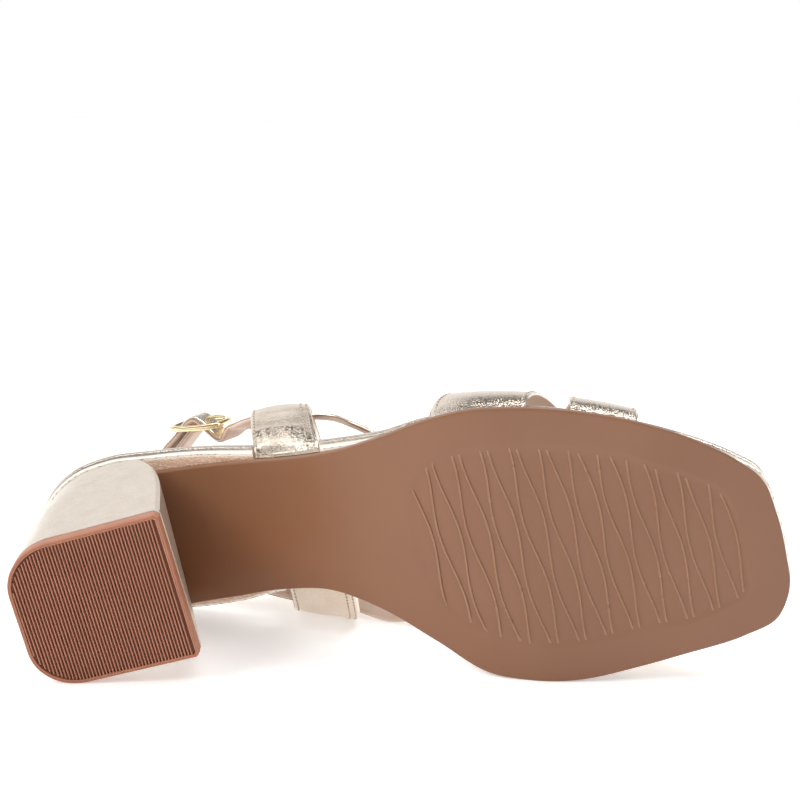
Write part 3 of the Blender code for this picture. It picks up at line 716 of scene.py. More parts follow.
class Bench:
    """Blender operators that every piece is made with."""

    axes: ShoeAxes
    # Metres within which two points are one
    weld = 2e-6
    smooth_below = 40.0
    pattern_smooth_below = 50.0
    # A direction that no bar runs along
    slanted = (0.3, 0.5, 0.81)

    @staticmethod
    def clear_selection() -> None:
        """Leaves nothing selected, in object mode."""
        if bpy.context.object and bpy.context.object.mode != "OBJECT":
            bpy.ops.object.mode_set(mode="OBJECT")
        bpy.ops.object.select_all(action="DESELECT")

    @staticmethod
    def pick(*pieces: Piece) -> None:
        """Selects pieces and makes the first one active.

        Args:
            pieces: Pieces to select.
        """
        Bench.clear_selection()
        for piece in pieces:
            piece.select_set(True)
        bpy.context.view_layer.objects.active = pieces[0]

    @staticmethod
    def points(piece: Piece) -> Array:
        """Reads a piece's vertices.

        Args:
            piece: The piece.

        Returns:
            Their coordinates, one row each.
        """
        flat = np.empty(len(piece.data.vertices) * 3)
        piece.data.vertices.foreach_get("co", flat)
        return flat.reshape(-1, 3)

    @staticmethod
    def move(piece: Piece, points: Array) -> None:
        """Puts a piece's vertices at new places.

        Args:
            piece: The piece.
            points: A place in shoe millimetres for each vertex.
        """
        placed = Bench.axes.place(np.asarray(points, float))
        piece.data.vertices.foreach_set("co", placed.ravel())
        piece.data.update()

    @staticmethod
    def close(piece: Piece) -> None:
        """Welds a piece's seams and poles and turns its faces outwards.

        Args:
            piece: The piece.
        """
        Bench.pick(piece)
        bpy.ops.object.mode_set(mode="EDIT")
        bpy.ops.mesh.select_all(action="SELECT")
        bpy.ops.mesh.remove_doubles(threshold=Bench.weld)
        bpy.ops.mesh.dissolve_degenerate(threshold=Bench.weld)
        bpy.ops.mesh.normals_make_consistent(inside=False)
        bpy.ops.object.mode_set(mode="OBJECT")

    @staticmethod
    def smooth(piece: Piece, degrees: float = smooth_below) -> None:
        """Shades a piece smooth, except over sharp edges."""
        Bench.pick(piece)
        bpy.ops.object.shade_smooth_by_angle(angle=math.radians(degrees))

    @staticmethod
    def patch(
        name: str,
        columns: int,
        rows: int,
        place: OfShares,
        slots: OfShares | None = None,
        wear_and_shade: OfShares | None = None,
    ) -> Piece:
        """Grid whose points are moved to a function of their column and row shares, then closed.

        Args:
            name: Name of the piece.
            columns: Faces along.
            rows: Faces across or round.
            place: Shoe millimetres for the shares along and round.
            slots: Material slot of a face for its shares.
            wear_and_shade: Edge wear of a point for its shares, kept as an attribute; on the outsole, painted
                shade.

        Returns:
            The new piece.
        """
        Bench.clear_selection()
        bpy.ops.mesh.primitive_grid_add(x_subdivisions=columns, y_subdivisions=rows, size=1.0)
        piece = bpy.context.object
        piece.name = piece.data.name = name
        flat = Bench.points(piece) + 0.5
        if slots:
            centres = np.array([face.center[:2] for face in piece.data.polygons]) + 0.5
            piece.data.polygons.foreach_set("material_index", slots(centres[:, 0], centres[:, 1]).astype(int))
        if wear_and_shade:
            layer = piece.data.attributes.new("wear_and_shade", "FLOAT", "POINT")
            layer.data.foreach_set("value", wear_and_shade(flat[:, 0], flat[:, 1]).astype(np.float32))
        Bench.move(piece, place(flat[:, 0], flat[:, 1]))
        Bench.close(piece)
        Bench.smooth(piece)
        return piece

    @staticmethod
    def tube(name: str, path: Array, radius: Array | float, sides: int = 12, closed: bool = False) -> Piece:
        """Round bar along a path.

        Args:
            name: Name of the piece.
            path: Points in shoe millimetres.
            radius: One radius, or one for each point.
            sides: Faces round the bar.
            closed: Whether the path is a ring.

        Returns:
            The new piece.
        """
        count = len(path)
        radii = np.broadcast_to(np.asarray(radius, float), (count,))
        ahead = np.roll(path, -1, axis=0) - np.roll(path, 1, axis=0) if closed else np.gradient(path, axis=0)
        ahead = unit(ahead)
        side = np.cross(ahead[0], Bench.slanted)
        sides_along = []
        for heading in ahead:
            side = unit(side - heading * np.dot(side, heading))
            sides_along.append(side)
        first = np.array(sides_along)
        second = np.cross(ahead, first)
        columns = count if closed else count + 1

        def place(along: Array, around: Array) -> Array:
            """Points of the bar's skin.

            Args:
                along: Shares of the path.
                around: Shares of the way round.

            Returns:
                Points in shoe millimetres.
            """
            step = np.rint(along * columns).astype(int)
            index = step % count if closed else np.clip(step - 1, 0, count - 1)
            size = radii[index] if closed else np.where((step == 0) | (step == columns), 0.0, radii[index])
            turn = 2 * math.pi * around
            ring = first[index] * np.cos(turn)[:, None] + second[index] * np.sin(turn)[:, None]
            return path[index] + ring * size[:, None]

        return Bench.patch(name, columns, sides, place)

    @staticmethod
    def cut(piece: Piece, tool: Piece) -> None:
        """Cuts a piece with a tool, which is then thrown away.

        Args:
            piece: The piece.
            tool: What is cut out of it.
        """
        Bench.pick(piece)
        modifier = piece.modifiers.new("cut", "BOOLEAN")
        modifier.operation = "DIFFERENCE"
        modifier.solver = "EXACT"
        modifier.object = tool
        bpy.ops.object.modifier_apply(modifier=modifier.name)
        bpy.data.objects.remove(tool)

    @staticmethod
    def join(name: str, pieces: Sequence[Piece]) -> Piece:
        """Joins pieces into one.

        Args:
            name: Name of the new piece.
            pieces: The pieces.

        Returns:
            The new piece.
        """
        Bench.pick(*pieces)
        bpy.ops.object.join()
        joined = bpy.context.object
        joined.name = joined.data.name = name
        return joined

    @staticmethod
    def cube(size: float, cuts: int, roundness: float = 0.0) -> Piece:
        """Cube round the origin with its faces cut up, and rounded if wanted.

        Args:
            size: Length of a side.
            cuts: Cuts across each side.
            roundness: How far it goes towards a ball, from 0 to 1.

        Returns:
            The new piece.
        """
        Bench.clear_selection()
        bpy.ops.mesh.primitive_cube_add(size=size)
        bpy.ops.object.mode_set(mode="EDIT")
        bpy.ops.mesh.select_all(action="SELECT")
        bpy.ops.mesh.subdivide(number_cuts=cuts)
        if roundness:
            bpy.ops.transform.tosphere(value=roundness)
        bpy.ops.object.mode_set(mode="OBJECT")
        return bpy.context.object

    @staticmethod
    def repeat(name: str, pattern: Piece, places: Array, frames: Array) -> Piece:
        """Joined copies of a small modelled pattern.

        Args:
            name: Name of the new piece.
            pattern: The pattern, modelled round the origin in millimetres; it is thrown away.
            places: Middle of each copy in shoe millimetres.
            frames: Three scaled axes for each copy, as rows.

        Returns:
            The new piece.
        """
        shape = Bench.points(pattern)
        faces = np.array([list(face.vertices) for face in pattern.data.polygons])
        points = (places[:, None, :] + np.einsum("vk,nkc->nvc", shape, frames)).reshape(-1, 3)
        firsts = (np.arange(len(places)) * len(shape))[:, None, None]
        all_faces = (faces[None] + firsts).reshape(-1, faces.shape[1])
        mesh = bpy.data.meshes.new(name)
        mesh.from_pydata(Bench.axes.place(points).tolist(), [], all_faces.tolist())
        mesh.update()
        piece = bpy.data.objects.new(name, mesh)
        bpy.context.scene.collection.objects.link(piece)
        bpy.data.objects.remove(pattern)
        Bench.smooth(piece, Bench.pattern_smooth_below)
        return piece


def srgb(code: str) -> tuple[float, float, float, float]:
    """Linear colour of an sRGB hex value.

    Args:
        code: Hex value with its hash sign.

    Returns:
        Red, green, blue and an alpha of 1.
    """
    parts = [int(code[i : i + 2], 16) / 255 for i in (1, 3, 5)]
    red, green, blue = (
        part / 12.92 if part <= 0.04045 else ((part + 0.055) / 1.055) ** 2.4 for part in parts
    )
    return red, green, blue, 1.0


def add_node(
    tree: bpy.types.NodeTree, kind: str, inputs: dict, **settings: str | bool
) -> bpy.types.NodeOutputs:
    """Adds a node with its settings and links.

    Args:
        tree: The material's tree.
        kind: Blender's name for the node, without ShaderNode before it.
        inputs: Values or linked sockets by input name or index.
        settings: Properties to set.

    Returns:
        The new node's outputs.
    """
    made = tree.nodes.new("ShaderNode" + kind)
    for name, value in settings.items():
        setattr(made, name, value)
    for key, value in inputs.items():
        if isinstance(value, bpy.types.NodeSocket):
            tree.links.new(value, made.inputs[key])
        else:
            made.inputs[key].default_value = value
    return made.outputs


def per_mm(size: float) -> float:
    """Texture scale that gives a pattern a real size in millimetres."""
    return 1.0 / (size * MM)


class Grain(Enum):
    """Kinds of relief on a finish."""

    PEBBLE = "pebble"
    CREASE = "crease"
    FINE = "fine"


class Tone(NamedTuple):
    """Colour of a finish, the deep one of its valleys and clouds, and the one of edge wear and of painted
    shade.
    """

    colour: str
    deep: str
    worn_and_shaded: str = ""
    cloud_mm: float = 14.0


class Gloss(NamedTuple):
    """How a finish shines, with how far its roughness goes up and down."""

    metallic: float
    roughness: float
    uneven: float


class Relief(NamedTuple):
    """Grain of a finish, with its size and height in millimetres."""

    grain: Grain
    size: float
    height: float


@dataclass(frozen=True)
class Finish:
    """A surface: its colours, gloss and relief."""

    name: str
    tone: Tone
    gloss: Gloss
    skin: Relief
    # Leather, rubber and nylon are all near this
    ior: float = 1.5
    # Gain and offset that turn clouds into a share of the deep colour, and what valleys add to it
    cloud_gain: float = 0.9
    cloud_offset: float = -0.2
    valley_gain: float = 0.45
    # Cloud values between which the roughness goes from its least to its most
    cloud_span: tuple[float, float] = (0.3, 0.7)
    # Share of a cell over which its cushion rises, the fine noise on it, and the stretch of creased cells
    cushion_edge: float = 0.3
    fine_gain: float = 0.5
    crease_stretch: float = 0.45

    def material(self) -> bpy.types.Material:
        """Makes this finish's node material, or finds it.

        Returns:
            The material.
        """
        material = bpy.data.materials.get(self.name)
        if material:
            return material
        material = bpy.data.materials.new(self.name)
        material.use_nodes = True
        tree = material.node_tree
        shader = tree.nodes["Principled BSDF"]
        shader.inputs["Metallic"].default_value = self.gloss.metallic
        shader.inputs["IOR"].default_value = self.ior
        where = add_node(tree, "TexCoord", {})["Object"]
        clouds = add_node(
            tree, "TexNoise", {"Vector": where, "Scale": per_mm(self.tone.cloud_mm), "Detail": 4.0}
        )["Fac"]
        relief, valleys = self.relief(tree, where)
        shade = add_node(
            tree, "Math", {0: clouds, 1: self.cloud_gain, 2: self.cloud_offset}, operation="MULTIPLY_ADD"
        )[0]
        added = {0: valleys, 1: self.valley_gain, 2: shade}
        shade = add_node(tree, "Math", added, operation="MULTIPLY_ADD", use_clamp=True)[0]
        mixed = {"Factor": shade, "A": srgb(self.tone.colour), "B": srgb(self.tone.deep)}
        colour = add_node(tree, "Mix", mixed, data_type="RGBA")["Result"]
        # The worn colour is edge wear on the straps; on the sole's waist it is painted shade with a warm
        # painted reflection
        if self.tone.worn_and_shaded:
            edge = add_node(tree, "Attribute", {}, attribute_name="wear_and_shade")["Fac"]
            wear_and_shade_share = add_node(tree, "Math", {0: edge, 1: clouds}, operation="MULTIPLY", use_clamp=True)[0]
            mixed = {"Factor": wear_and_shade_share, "A": colour, "B": srgb(self.tone.worn_and_shaded)}
            colour = add_node(tree, "Mix", mixed, data_type="RGBA")["Result"]
        tree.links.new(colour, shader.inputs["Base Color"])
        rough = add_node(
            tree,
            "MapRange",
            {
                "Value": clouds,
                "From Min": self.cloud_span[0],
                "From Max": self.cloud_span[1],
                "To Min": self.gloss.roughness - self.gloss.uneven,
                "To Max": self.gloss.roughness + self.gloss.uneven,
            },
        )["Result"]
        tree.links.new(rough, shader.inputs["Roughness"])
        bump = add_node(
            tree, "Bump", {"Height": relief, "Strength": 1.0, "Distance": self.skin.height * MM}
        )["Normal"]
        tree.links.new(bump, shader.inputs["Normal"])
        return material

    def relief(
        self, tree: bpy.types.NodeTree, where: bpy.types.NodeSocket
    ) -> tuple[bpy.types.NodeSocket, bpy.types.NodeSocket]:
        """Height of the finish and the share of its valleys.

        Args:
            tree: The material's tree.
            where: Object coordinates.

        Returns:
            Sockets of the height and of the valleys.
        """
        fine = add_node(
            tree, "TexNoise", {"Vector": where, "Scale": per_mm(self.skin.size / 2), "Detail": 3.0}
        )["Fac"]
        if self.skin.grain is Grain.FINE:
            return fine, fine
        drift = add_node(
            tree, "TexNoise", {"Vector": where, "Scale": per_mm(self.skin.size * 3), "Detail": 2.0}
        )["Color"]
        mixed = {"Factor": self.skin.size * MM, "A": where, "B": drift}
        bent = add_node(tree, "Mix", mixed, data_type="VECTOR")[1]
        stretch = (1.0 if self.skin.grain is Grain.PEBBLE else self.crease_stretch, 1.0, 1.0)
        laid = add_node(tree, "Mapping", {"Vector": bent, "Scale": stretch})["Vector"]
        laid_cells = {"Vector": laid, "Scale": per_mm(self.skin.size)}
        cells = add_node(tree, "TexVoronoi", laid_cells, feature="DISTANCE_TO_EDGE")["Distance"]
        risen = {"Value": cells, "From Min": 0.0, "From Max": self.cushion_edge}
        cushions = add_node(tree, "MapRange", risen, interpolation_type="SMOOTHSTEP")["Result"]
        height = add_node(
            tree, "Math", {0: fine, 1: self.fine_gain, 2: cushions}, operation="MULTIPLY_ADD"
        )[0]
        valleys = add_node(tree, "Math", {0: 1.0, 1: cushions}, operation="SUBTRACT")[0]
        return height, valleys


# Goat leather with a champagne foil: fine pebbles, bright on the crowns and duller where the foil wears off
# folds. Real pebbles are under half a millimetre; these are coarser, because finer ones don't show
GOLD_FOIL = Finish(
    "champagne_foil_leather",
    Tone("#F1E6DA", "#D9C8B4", worn_and_shaded="#F7EFE4"),
    Gloss(metallic=0.92, roughness=0.14, uneven=0.03),
    Relief(Grain.PEBBLE, size=0.7, height=0.027),
)
# The same leather round the board, its grain stretched; painted near white as a painted highlight on the
# rounded edge
BOARD_FOIL = Finish(
    "board_foil_painted_highlight",
    Tone("#FFF9F1", "#F1E6D8"),
    Gloss(metallic=0.55, roughness=0.2, uneven=0.04),
    Relief(Grain.CREASE, size=0.6, height=0.015),
)
# And round the footbed: duller, and painted greyer as painted shade
FOOTBED_FOIL = Finish(
    "footbed_foil_painted_shade",
    Tone("#DDD4C9", "#C8BBAD"),
    Gloss(metallic=0.9, roughness=0.24, uneven=0.04),
    Relief(Grain.CREASE, size=0.6, height=0.02),
)
# Its edge turned in under the board: the foil cracks there and the peach leather shows
TURNED_FOIL = Finish(
    "turned_in_foil_leather",
    Tone("#FFE6D3", "#D8B193", cloud_mm=3.0),
    Gloss(metallic=0.25, roughness=0.4, uneven=0.08),
    Relief(Grain.CREASE, size=0.9, height=0.12),
)
# Glue line between the two leathers of the thin strap, stained brown
EDGE_GLUE = Finish(
    "brown_edge_stain",
    Tone("#A97E5F", "#8F6648"),
    Gloss(metallic=0.1, roughness=0.5, uneven=0.05),
    Relief(Grain.FINE, size=0.5, height=0.01),
)
# Cream-gold calf on the heel block: nearly smooth, with a soft satin gloss
HEEL_CALF = Finish(
    "cream_gold_calf",
    Tone("#E2D7CA", "#D3C6B7", cloud_mm=5.0),
    Gloss(metallic=0.75, roughness=0.34, uneven=0.05),
    Relief(Grain.CREASE, size=0.8, height=0.025),
)
# Pig-skin lining: pinkish, open and dull
LINING = Finish(
    "pink_pigskin_lining",
    Tone("#E9D6C8", "#D3B7A6"),
    Gloss(metallic=0.0, roughness=0.6, uneven=0.06),
    Relief(Grain.PEBBLE, size=0.6, height=0.03),
)
# Thermoplastic rubber, moulded against a fine satin tool; its darker, warmer colour at the waist by the heel
# is painted shade with a warm painted reflection of the heel
SOLE_RUBBER = Finish(
    "brown_moulded_rubber",
    Tone("#855A3D", "#795038", worn_and_shaded="#84502F", cloud_mm=45.0),
    Gloss(metallic=0.0, roughness=0.4, uneven=0.04),
    Relief(Grain.FINE, size=0.35, height=0.012),
)
# The tread's ridges: the same rubber, painted lighter as a painted highlight on them, and glossier
RIDGE_RUBBER = Finish(
    "ridge_rubber_painted_highlight",
    Tone("#966F55", "#89634A", cloud_mm=20.0),
    Gloss(metallic=0.0, roughness=0.3, uneven=0.04),
    Relief(Grain.FINE, size=0.35, height=0.01),
)
# Harder nylon top piece, redder and duller from wear
LIFT_RUBBER = Finish(
    "reddish_nylon_lift",
    Tone("#B1765B", "#9A634A", cloud_mm=9.0),
    Gloss(metallic=0.0, roughness=0.45, uneven=0.05),
    Relief(Grain.FINE, size=0.3, height=0.015),
)
# Bottom of the lift's grooves, painted darker as painted shade
LIFT_GROOVE = Finish(
    "nylon_groove_painted_shade",
    Tone("#74442F", "#623725"),
    Gloss(metallic=0.0, roughness=0.7, uneven=0.05),
    Relief(Grain.FINE, size=0.3, height=0.01),
)
# Polyester thread with a slight sheen
THREAD = Finish(
    "champagne_thread",
    Tone("#E3D6C5", "#C4B299"),
    Gloss(metallic=0.3, roughness=0.5, uneven=0.05),
    Relief(Grain.FINE, size=0.2, height=0.02),
)
# Painted shade in the needle holes and in the pleats of the turned-in leather
HOLE_AND_PLEAT_SHADE = Finish(
    "hole_and_pleat_painted_shade",
    Tone("#6B5743", "#574636"),
    Gloss(metallic=0.0, roughness=0.8, uneven=0.05),
    Relief(Grain.FINE, size=0.6, height=0.01),
)
# Zinc casting, polished and gold plated
GILT = Finish(
    "polished_gold_plate",
    Tone("#F8EACB", "#EDD3A0"),
    Gloss(metallic=1.0, roughness=0.08, uneven=0.02),
    Relief(Grain.FINE, size=1.2, height=0.004),
)
# Sized white paper on the light table: even and without gloss
FLOOR_PAPER = Finish(
    "white_paper",
    Tone("#FAFAFA", "#F7F7F7", cloud_mm=400.0),
    Gloss(metallic=0.0, roughness=0.9, uneven=0.02),
    Relief(Grain.FINE, size=3.0, height=0.002),
)


def dress(piece: Piece, *finishes: Finish) -> Piece:
    """Gives a piece its materials.

    Args:
        piece: The piece.
        finishes: Its finishes, in slot order.

    Returns:
        The same piece.
    """
    for finish in finishes:
        piece.data.materials.append(finish.material())
    return piece


def settle(piece: Piece, slot: str, *nodes: str) -> Piece:
    """Rides a piece on the shoe and hides the solids that it stands for.

    Args:
        piece: The finished piece.
        slot: The record's material slot; not used.
        nodes: Solids that it replaces.

    Returns:
        The same piece.
    """
    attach(piece, BODY)
    if nodes:
        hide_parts(*nodes)
    LOG.info("%s: %d faces", piece.name, len(piece.data.polygons))
    return piece


class Crease(NamedTuple):
    """A soft trough with low ridges beside it.

    Its middle is in shares of a strap, or in millimetres along and up the heel. Its turn is in degrees, and
    its half length, half width and depth are in millimetres.
    """

    along: float
    across: float
    turn: float
    reach: float
    wide: float
    deep: float


def trough(right: Array, up: Array, crease: Crease) -> Array:
    """Depth of one crease.

    Args:
        right: Millimetres to the right of its middle.
        up: Millimetres above its middle.
        crease: The crease.

    Returns:
        The depth at each place, below zero on the ridges.
    """
    cos, sin = math.cos(math.radians(crease.turn)), math.sin(math.radians(crease.turn))
    length, side = right * cos + up * sin, up * cos - right * sin
    fade = ease(1.0 - np.abs(length) / crease.reach)
    pressed = np.exp(-((side / crease.wide) ** 2))
    raised = np.exp(-(((np.abs(side) - 2 * crease.wide) / crease.wide) ** 2))
    return crease.deep * fade * (pressed - CREASE_RIDGE * raised)


class Row(NamedTuple):
    """One row of a plate's skin: how far in from the edge, the share from the spine out, and the level."""

    inset: float
    share: float
    level: float


@dataclass
class Plate:
    """A plate with an outline, rounded edges and quads that run from its spine to its edge."""

    name: str
    loop: Array
    first_x: float
    last_x: float
    height: Callable[[Array, Array, Array], Array]
    stations: int = 90
    arc: int = 60

    def outline(self) -> tuple[Array, Array]:
        """Edge of the plate with the spine point that each edge point faces.

        Returns:
            Edge points and spine points, in x and y.
        """
        loop = np.roll(self.loop, -int(np.argmin(self.loop[:, 0])), axis=0)
        outward = int(np.argmax(loop[:, 0] >= self.last_x))
        back = len(loop) - 1 - int(np.argmax(loop[::-1, 0] >= self.last_x))
        start = int(np.argmax(loop[:, 0] >= self.first_x))
        end = back + int(np.argmax(loop[back:, 0] <= self.first_x))
        xs = np.linspace(self.first_x, self.last_x, self.stations)
        lateral = np.interp(xs, loop[start - 1 : outward + 1, 0], loop[start - 1 : outward + 1, 1])
        medial = np.interp(xs, loop[back : end + 1, 0][::-1], loop[back : end + 1, 1][::-1])
        lateral_side, medial_side = np.stack([xs, lateral], axis=1), np.stack([xs, medial], axis=1)
        front = np.vstack([lateral_side[-1:], loop[outward:back], medial_side[-1:]])
        rear = np.vstack([medial_side[:1], loop[end:], loop[:start], lateral_side[:1]])
        round_front, round_rear = resample(front, self.arc)[:-1], resample(rear, self.arc)[:-1]
        edge = np.vstack([lateral_side[:-1], round_front, medial_side[:0:-1], round_rear])
        middle = np.stack([xs, (lateral + medial) / 2], axis=1)
        ends = [np.repeat(middle[i : i + 1], self.arc - 1, axis=0) for i in (self.stations - 1, 0)]
        return edge, np.vstack([middle[:-1], ends[0], middle[:0:-1], ends[1]])

    def build(
        self,
        rows: Sequence[Row],
        slots: OfShares | None = None,
        wear_and_shade: Callable[[Array], Array] | None = None,
    ) -> Piece:
        """Makes the plate's skin.

        Args:
            rows: Rows from the underside's spine, round the edge, to the top's spine.
            slots: Material slot of a face for its shares round and over.
            wear_and_shade: Share of painted shade at points in shoe millimetres.

        Returns:
            The new piece.
        """
        edge, spine = self.outline()
        ahead = unit(np.roll(edge, -1, axis=0) - np.roll(edge, 1, axis=0))
        inward = np.stack([-ahead[:, 1], ahead[:, 0]], axis=1)
        if np.sum((spine - edge) * inward) < 0:
            inward = -inward
        table = np.array(rows, float)
        columns, last = len(edge), len(rows) - 1

        def place(around: Array, over: Array) -> Array:
            """Points of the skin.

            Args:
                around: Shares of the way round the edge.
                over: Shares of the way from the underside's spine to the top's.

            Returns:
                Points in shoe millimetres.
            """
            i = np.rint(around * columns).astype(int) % columns
            inset, share, level = table[np.rint(over * last).astype(int)].T
            rim = edge[i] + inward[i] * inset[:, None]
            flat = spine[i] + (rim - spine[i]) * share[:, None]
            return np.column_stack([flat, self.height(flat[:, 0], flat[:, 1], level)])

        worn_and_shaded = (lambda around, over: wear_and_shade(place(around, over))) if wear_and_shade else None
        return Bench.patch(self.name, columns, last, place, slots, worn_and_shaded)


def plate_rows(thick: float, radius: float, foot: float, flare: float = 0.0, lanes: int = 8) -> list[Row]:
    """Rows of a plate with rounded edges.

    Args:
        thick: Thickness.
        radius: Radius of both edges.
        foot: Level of the underside.
        flare: How far the edge stands out over the outline.
        lanes: Rows on the underside and on the top.

    Returns:
        Rows from spine to spine.
    """
    near_edge, bends = 0.98, 7
    shares = np.linspace(0.0, near_edge, lanes)
    turns = np.linspace(0.0, math.pi / 2, bends)
    insets = radius * (1 - np.sin(turns)) - flare
    rises = radius * (1 - np.cos(turns))
    rows = [Row(radius - flare, share, foot) for share in shares]
    rows += [Row(inset, 1.0, foot + rise) for inset, rise in zip(insets, rises)]
    rows += [Row(inset, 1.0, foot + thick - rise) for inset, rise in zip(insets[::-1], rises[::-1])]
    return rows + [Row(radius - flare, share, foot + thick) for share in shares[::-1]]


@dataclass
class Strip:
    """A strap of leather laid on a surface, with rounded edges and a lining side."""

    name: str
    surface: OfShares
    width: float
    low: float
    high: float
    side: float = 1.0
    steps: int = 120
    lanes: int = 10
    bends: int = 5
    creases: tuple[Crease, ...] = ()
    edge_seam: bool = False
    # Half the width of the seam round the edge, in steps of the section
    seam_half: float = 0.7
    # How much thinner the ends are, and how far that and the wear of the edges reach
    skive: float = 0.0
    skive_reach: float = 2.8
    wear_reach: float = 1.6
    measure_points: int = 200

    def __post_init__(self) -> None:
        """Measures the strap along its middle."""
        along = np.linspace(0.0, 1.0, self.measure_points)
        middle = self.surface(along, np.full_like(along, 0.5))
        self.length = float(np.sum(np.linalg.norm(np.diff(middle, axis=0), axis=1)))

    def lift(self, along: Array, across: Array, height: Array) -> Array:
        """Points over the surface, pressed in by the creases and thinned at the strap's ends.

        Args:
            along: Shares of the strap's length.
            across: Shares of its width.
            height: Heights over the surface.

        Returns:
            Points in shoe millimetres.
        """
        step = 0.004
        toward = self.surface(along + step, across) - self.surface(along - step, across)
        over = self.surface(along, across + step) - self.surface(along, across - step)
        for crease in self.creases:
            right, up = (along - crease.along) * self.length, (across - crease.across) * self.width
            height = height - trough(right, up, crease)
        end = np.maximum(np.minimum(along, 1.0 - along) * self.length, 0.0)
        on_face = height > self.high / 2
        height = height - self.skive * np.exp(-end / self.skive_reach) * on_face
        return self.surface(along, across) + unit(np.cross(toward, over)) * (self.side * height)[..., None]

    def section(self) -> tuple[Array, Array, Array]:
        """Closed section from the face round to the lining and back.

        Returns:
            Shares across, heights and edge wear.
        """
        radius = (self.high - self.low) / 2
        middle = (self.high + self.low) / 2
        inset = radius / self.width
        lane = np.linspace(inset, 1.0 - inset, self.lanes)
        turn = np.linspace(0.0, math.pi, self.bends + 2)[1:-1]
        far = (1.0 - inset + inset * np.sin(turn), middle + radius * np.cos(turn))
        near = (inset - inset * np.sin(turn), middle - radius * np.cos(turn))
        across = np.concatenate([lane, far[0], lane[::-1], near[0]])
        height = np.concatenate(
            [np.full(self.lanes, self.high), far[1], np.full(self.lanes, self.low), near[1]]
        )
        wear_and_shade = np.clip(1.0 - np.minimum(across, 1.0 - across) * self.width / self.wear_reach, 0.0, 1.0)
        return across, height, wear_and_shade

    def build(self) -> Piece:
        """Makes the strap: slot 0 on its face, 1 on its lining and 2 on the seam between them.

        Returns:
            The new piece.
        """
        across, height, wear_and_shade = self.section()
        count, columns = len(across), self.steps + 2
        lining = (self.lanes + self.bends / 2, 2 * self.lanes + 1.5 * self.bends)

        def index(around: Array) -> Array:
            """Point of the section at a share of the way round."""
            return np.rint(around * count).astype(int) % count

        def place(along: Array, around: Array) -> Array:
            """Points of the strap's skin, drawn together at both ends.

            Args:
                along: Shares of the strap's length.
                around: Shares of the way round its section.

            Returns:
                Points in shoe millimetres.
            """
            step = np.rint(along * columns).astype(int)
            share = np.clip((step - 1) / self.steps, 0.0, 1.0)
            i = index(around)
            cap = (step == 0) | (step == columns)
            level = np.where(cap, (self.high + self.low) / 2, height[i])
            return self.lift(share, np.where(cap, 0.5, across[i]), level)

        def slots(_: Array, around: Array) -> Array:
            """Material slots of faces.

            Args:
                around: Shares of the way round the section.

            Returns:
                A slot for each face.
            """
            i = around * count
            chosen = ((i > lining[0]) & (i < lining[1])).astype(int)
            if self.edge_seam:
                near = np.minimum(np.abs(i - lining[0]), np.abs(i - lining[1]))
                chosen[near < self.seam_half] = 2
            return chosen

        return Bench.patch(self.name, columns, count, place, slots, lambda _, around: wear_and_shade[index(around)])


@dataclass
class Seams:
    """Rows of stitches, gathered and made as one piece."""

    length: float = 1.2
    pitch: float = 1.7
    thick: float = 0.17
    # Flatness of threads, size and flatness of holes in thicknesses, and how far threads stand up
    flatness: float = 0.8
    hole_size: float = 1.3
    hole_flatness: float = 0.35
    stand: float = 0.05
    samples: int = 160
    middles: list[Array] = field(default_factory=list)
    frames: list[Array] = field(default_factory=list)
    holes: list[Array] = field(default_factory=list)
    hole_frames: list[Array] = field(default_factory=list)

    def along(self, line: Array, out: Array) -> None:
        """Adds a row of stitches on a line.

        Args:
            line: Points in shoe millimetres, close together.
            out: Direction off the surface at each point.
        """
        lengths = np.concatenate(([0.0], np.cumsum(np.linalg.norm(np.diff(line, axis=0), axis=1))))
        count = max(int(lengths[-1] // self.pitch), 1)
        starts = (np.arange(count) + 0.5) * lengths[-1] / count

        def at(places: Array, columns: Array) -> Array:
            """Columns' values at lengths along the line."""
            return np.stack([np.interp(places, lengths, column) for column in columns.T], axis=1)

        ahead = unit(at(starts + self.length / 2, line) - at(starts - self.length / 2, line))
        face = at(starts, out)
        face = unit(face - ahead * np.sum(face * ahead, axis=1, keepdims=True))
        side = np.cross(face, ahead)
        self.middles.append(at(starts, line))
        thread = [ahead * self.length / 2, side * self.thick, face * self.thick * self.flatness]
        self.frames.append(np.stack(thread, axis=1))
        self.holes.append(at(starts + lengths[-1] / count / 2, line))
        hole = np.stack([ahead, side, face * self.hole_flatness], axis=1)
        self.hole_frames.append(hole * self.thick * self.hole_size)

    def on_strip(self, strip: Strip, inset: float, first: float = 0.0, last: float = 1.0) -> None:
        """Adds a row along a strap.

        Args:
            strip: The strap.
            inset: Distance in from its near edge, or from its far edge if below zero.
            first: Share of its length where the row starts.
            last: Share of its length where the row ends.
        """
        along = np.linspace(first, last, self.samples)
        share = inset / strip.width if inset > 0 else 1.0 + inset / strip.width
        across = np.full_like(along, share)
        line = strip.lift(along, across, np.full_like(along, strip.high + self.stand))
        self.along(line, line - strip.lift(along, across, np.full_like(along, strip.high - 1.0)))

    def build(self, name: str, hole_name: str) -> None:
        """Makes all the stitches as one piece and the painted shade of their holes as another, each from one
        modelled shape.

        Args:
            name: Name of the stitches' piece.
            hole_name: Name of the piece of painted shade in the needle holes.
        """
        groups = (
            (name, THREAD, self.middles, self.frames),
            (hole_name, HOLE_AND_PLEAT_SHADE, self.holes, self.hole_frames),
        )
        for label, finish, places, frames in groups:
            shape = Bench.cube(2.0, cuts=1, roundness=0.75)
            piece = Bench.repeat(label, shape, np.vstack(places), np.vstack(frames))
            settle(dress(piece, finish), "gold_leather")


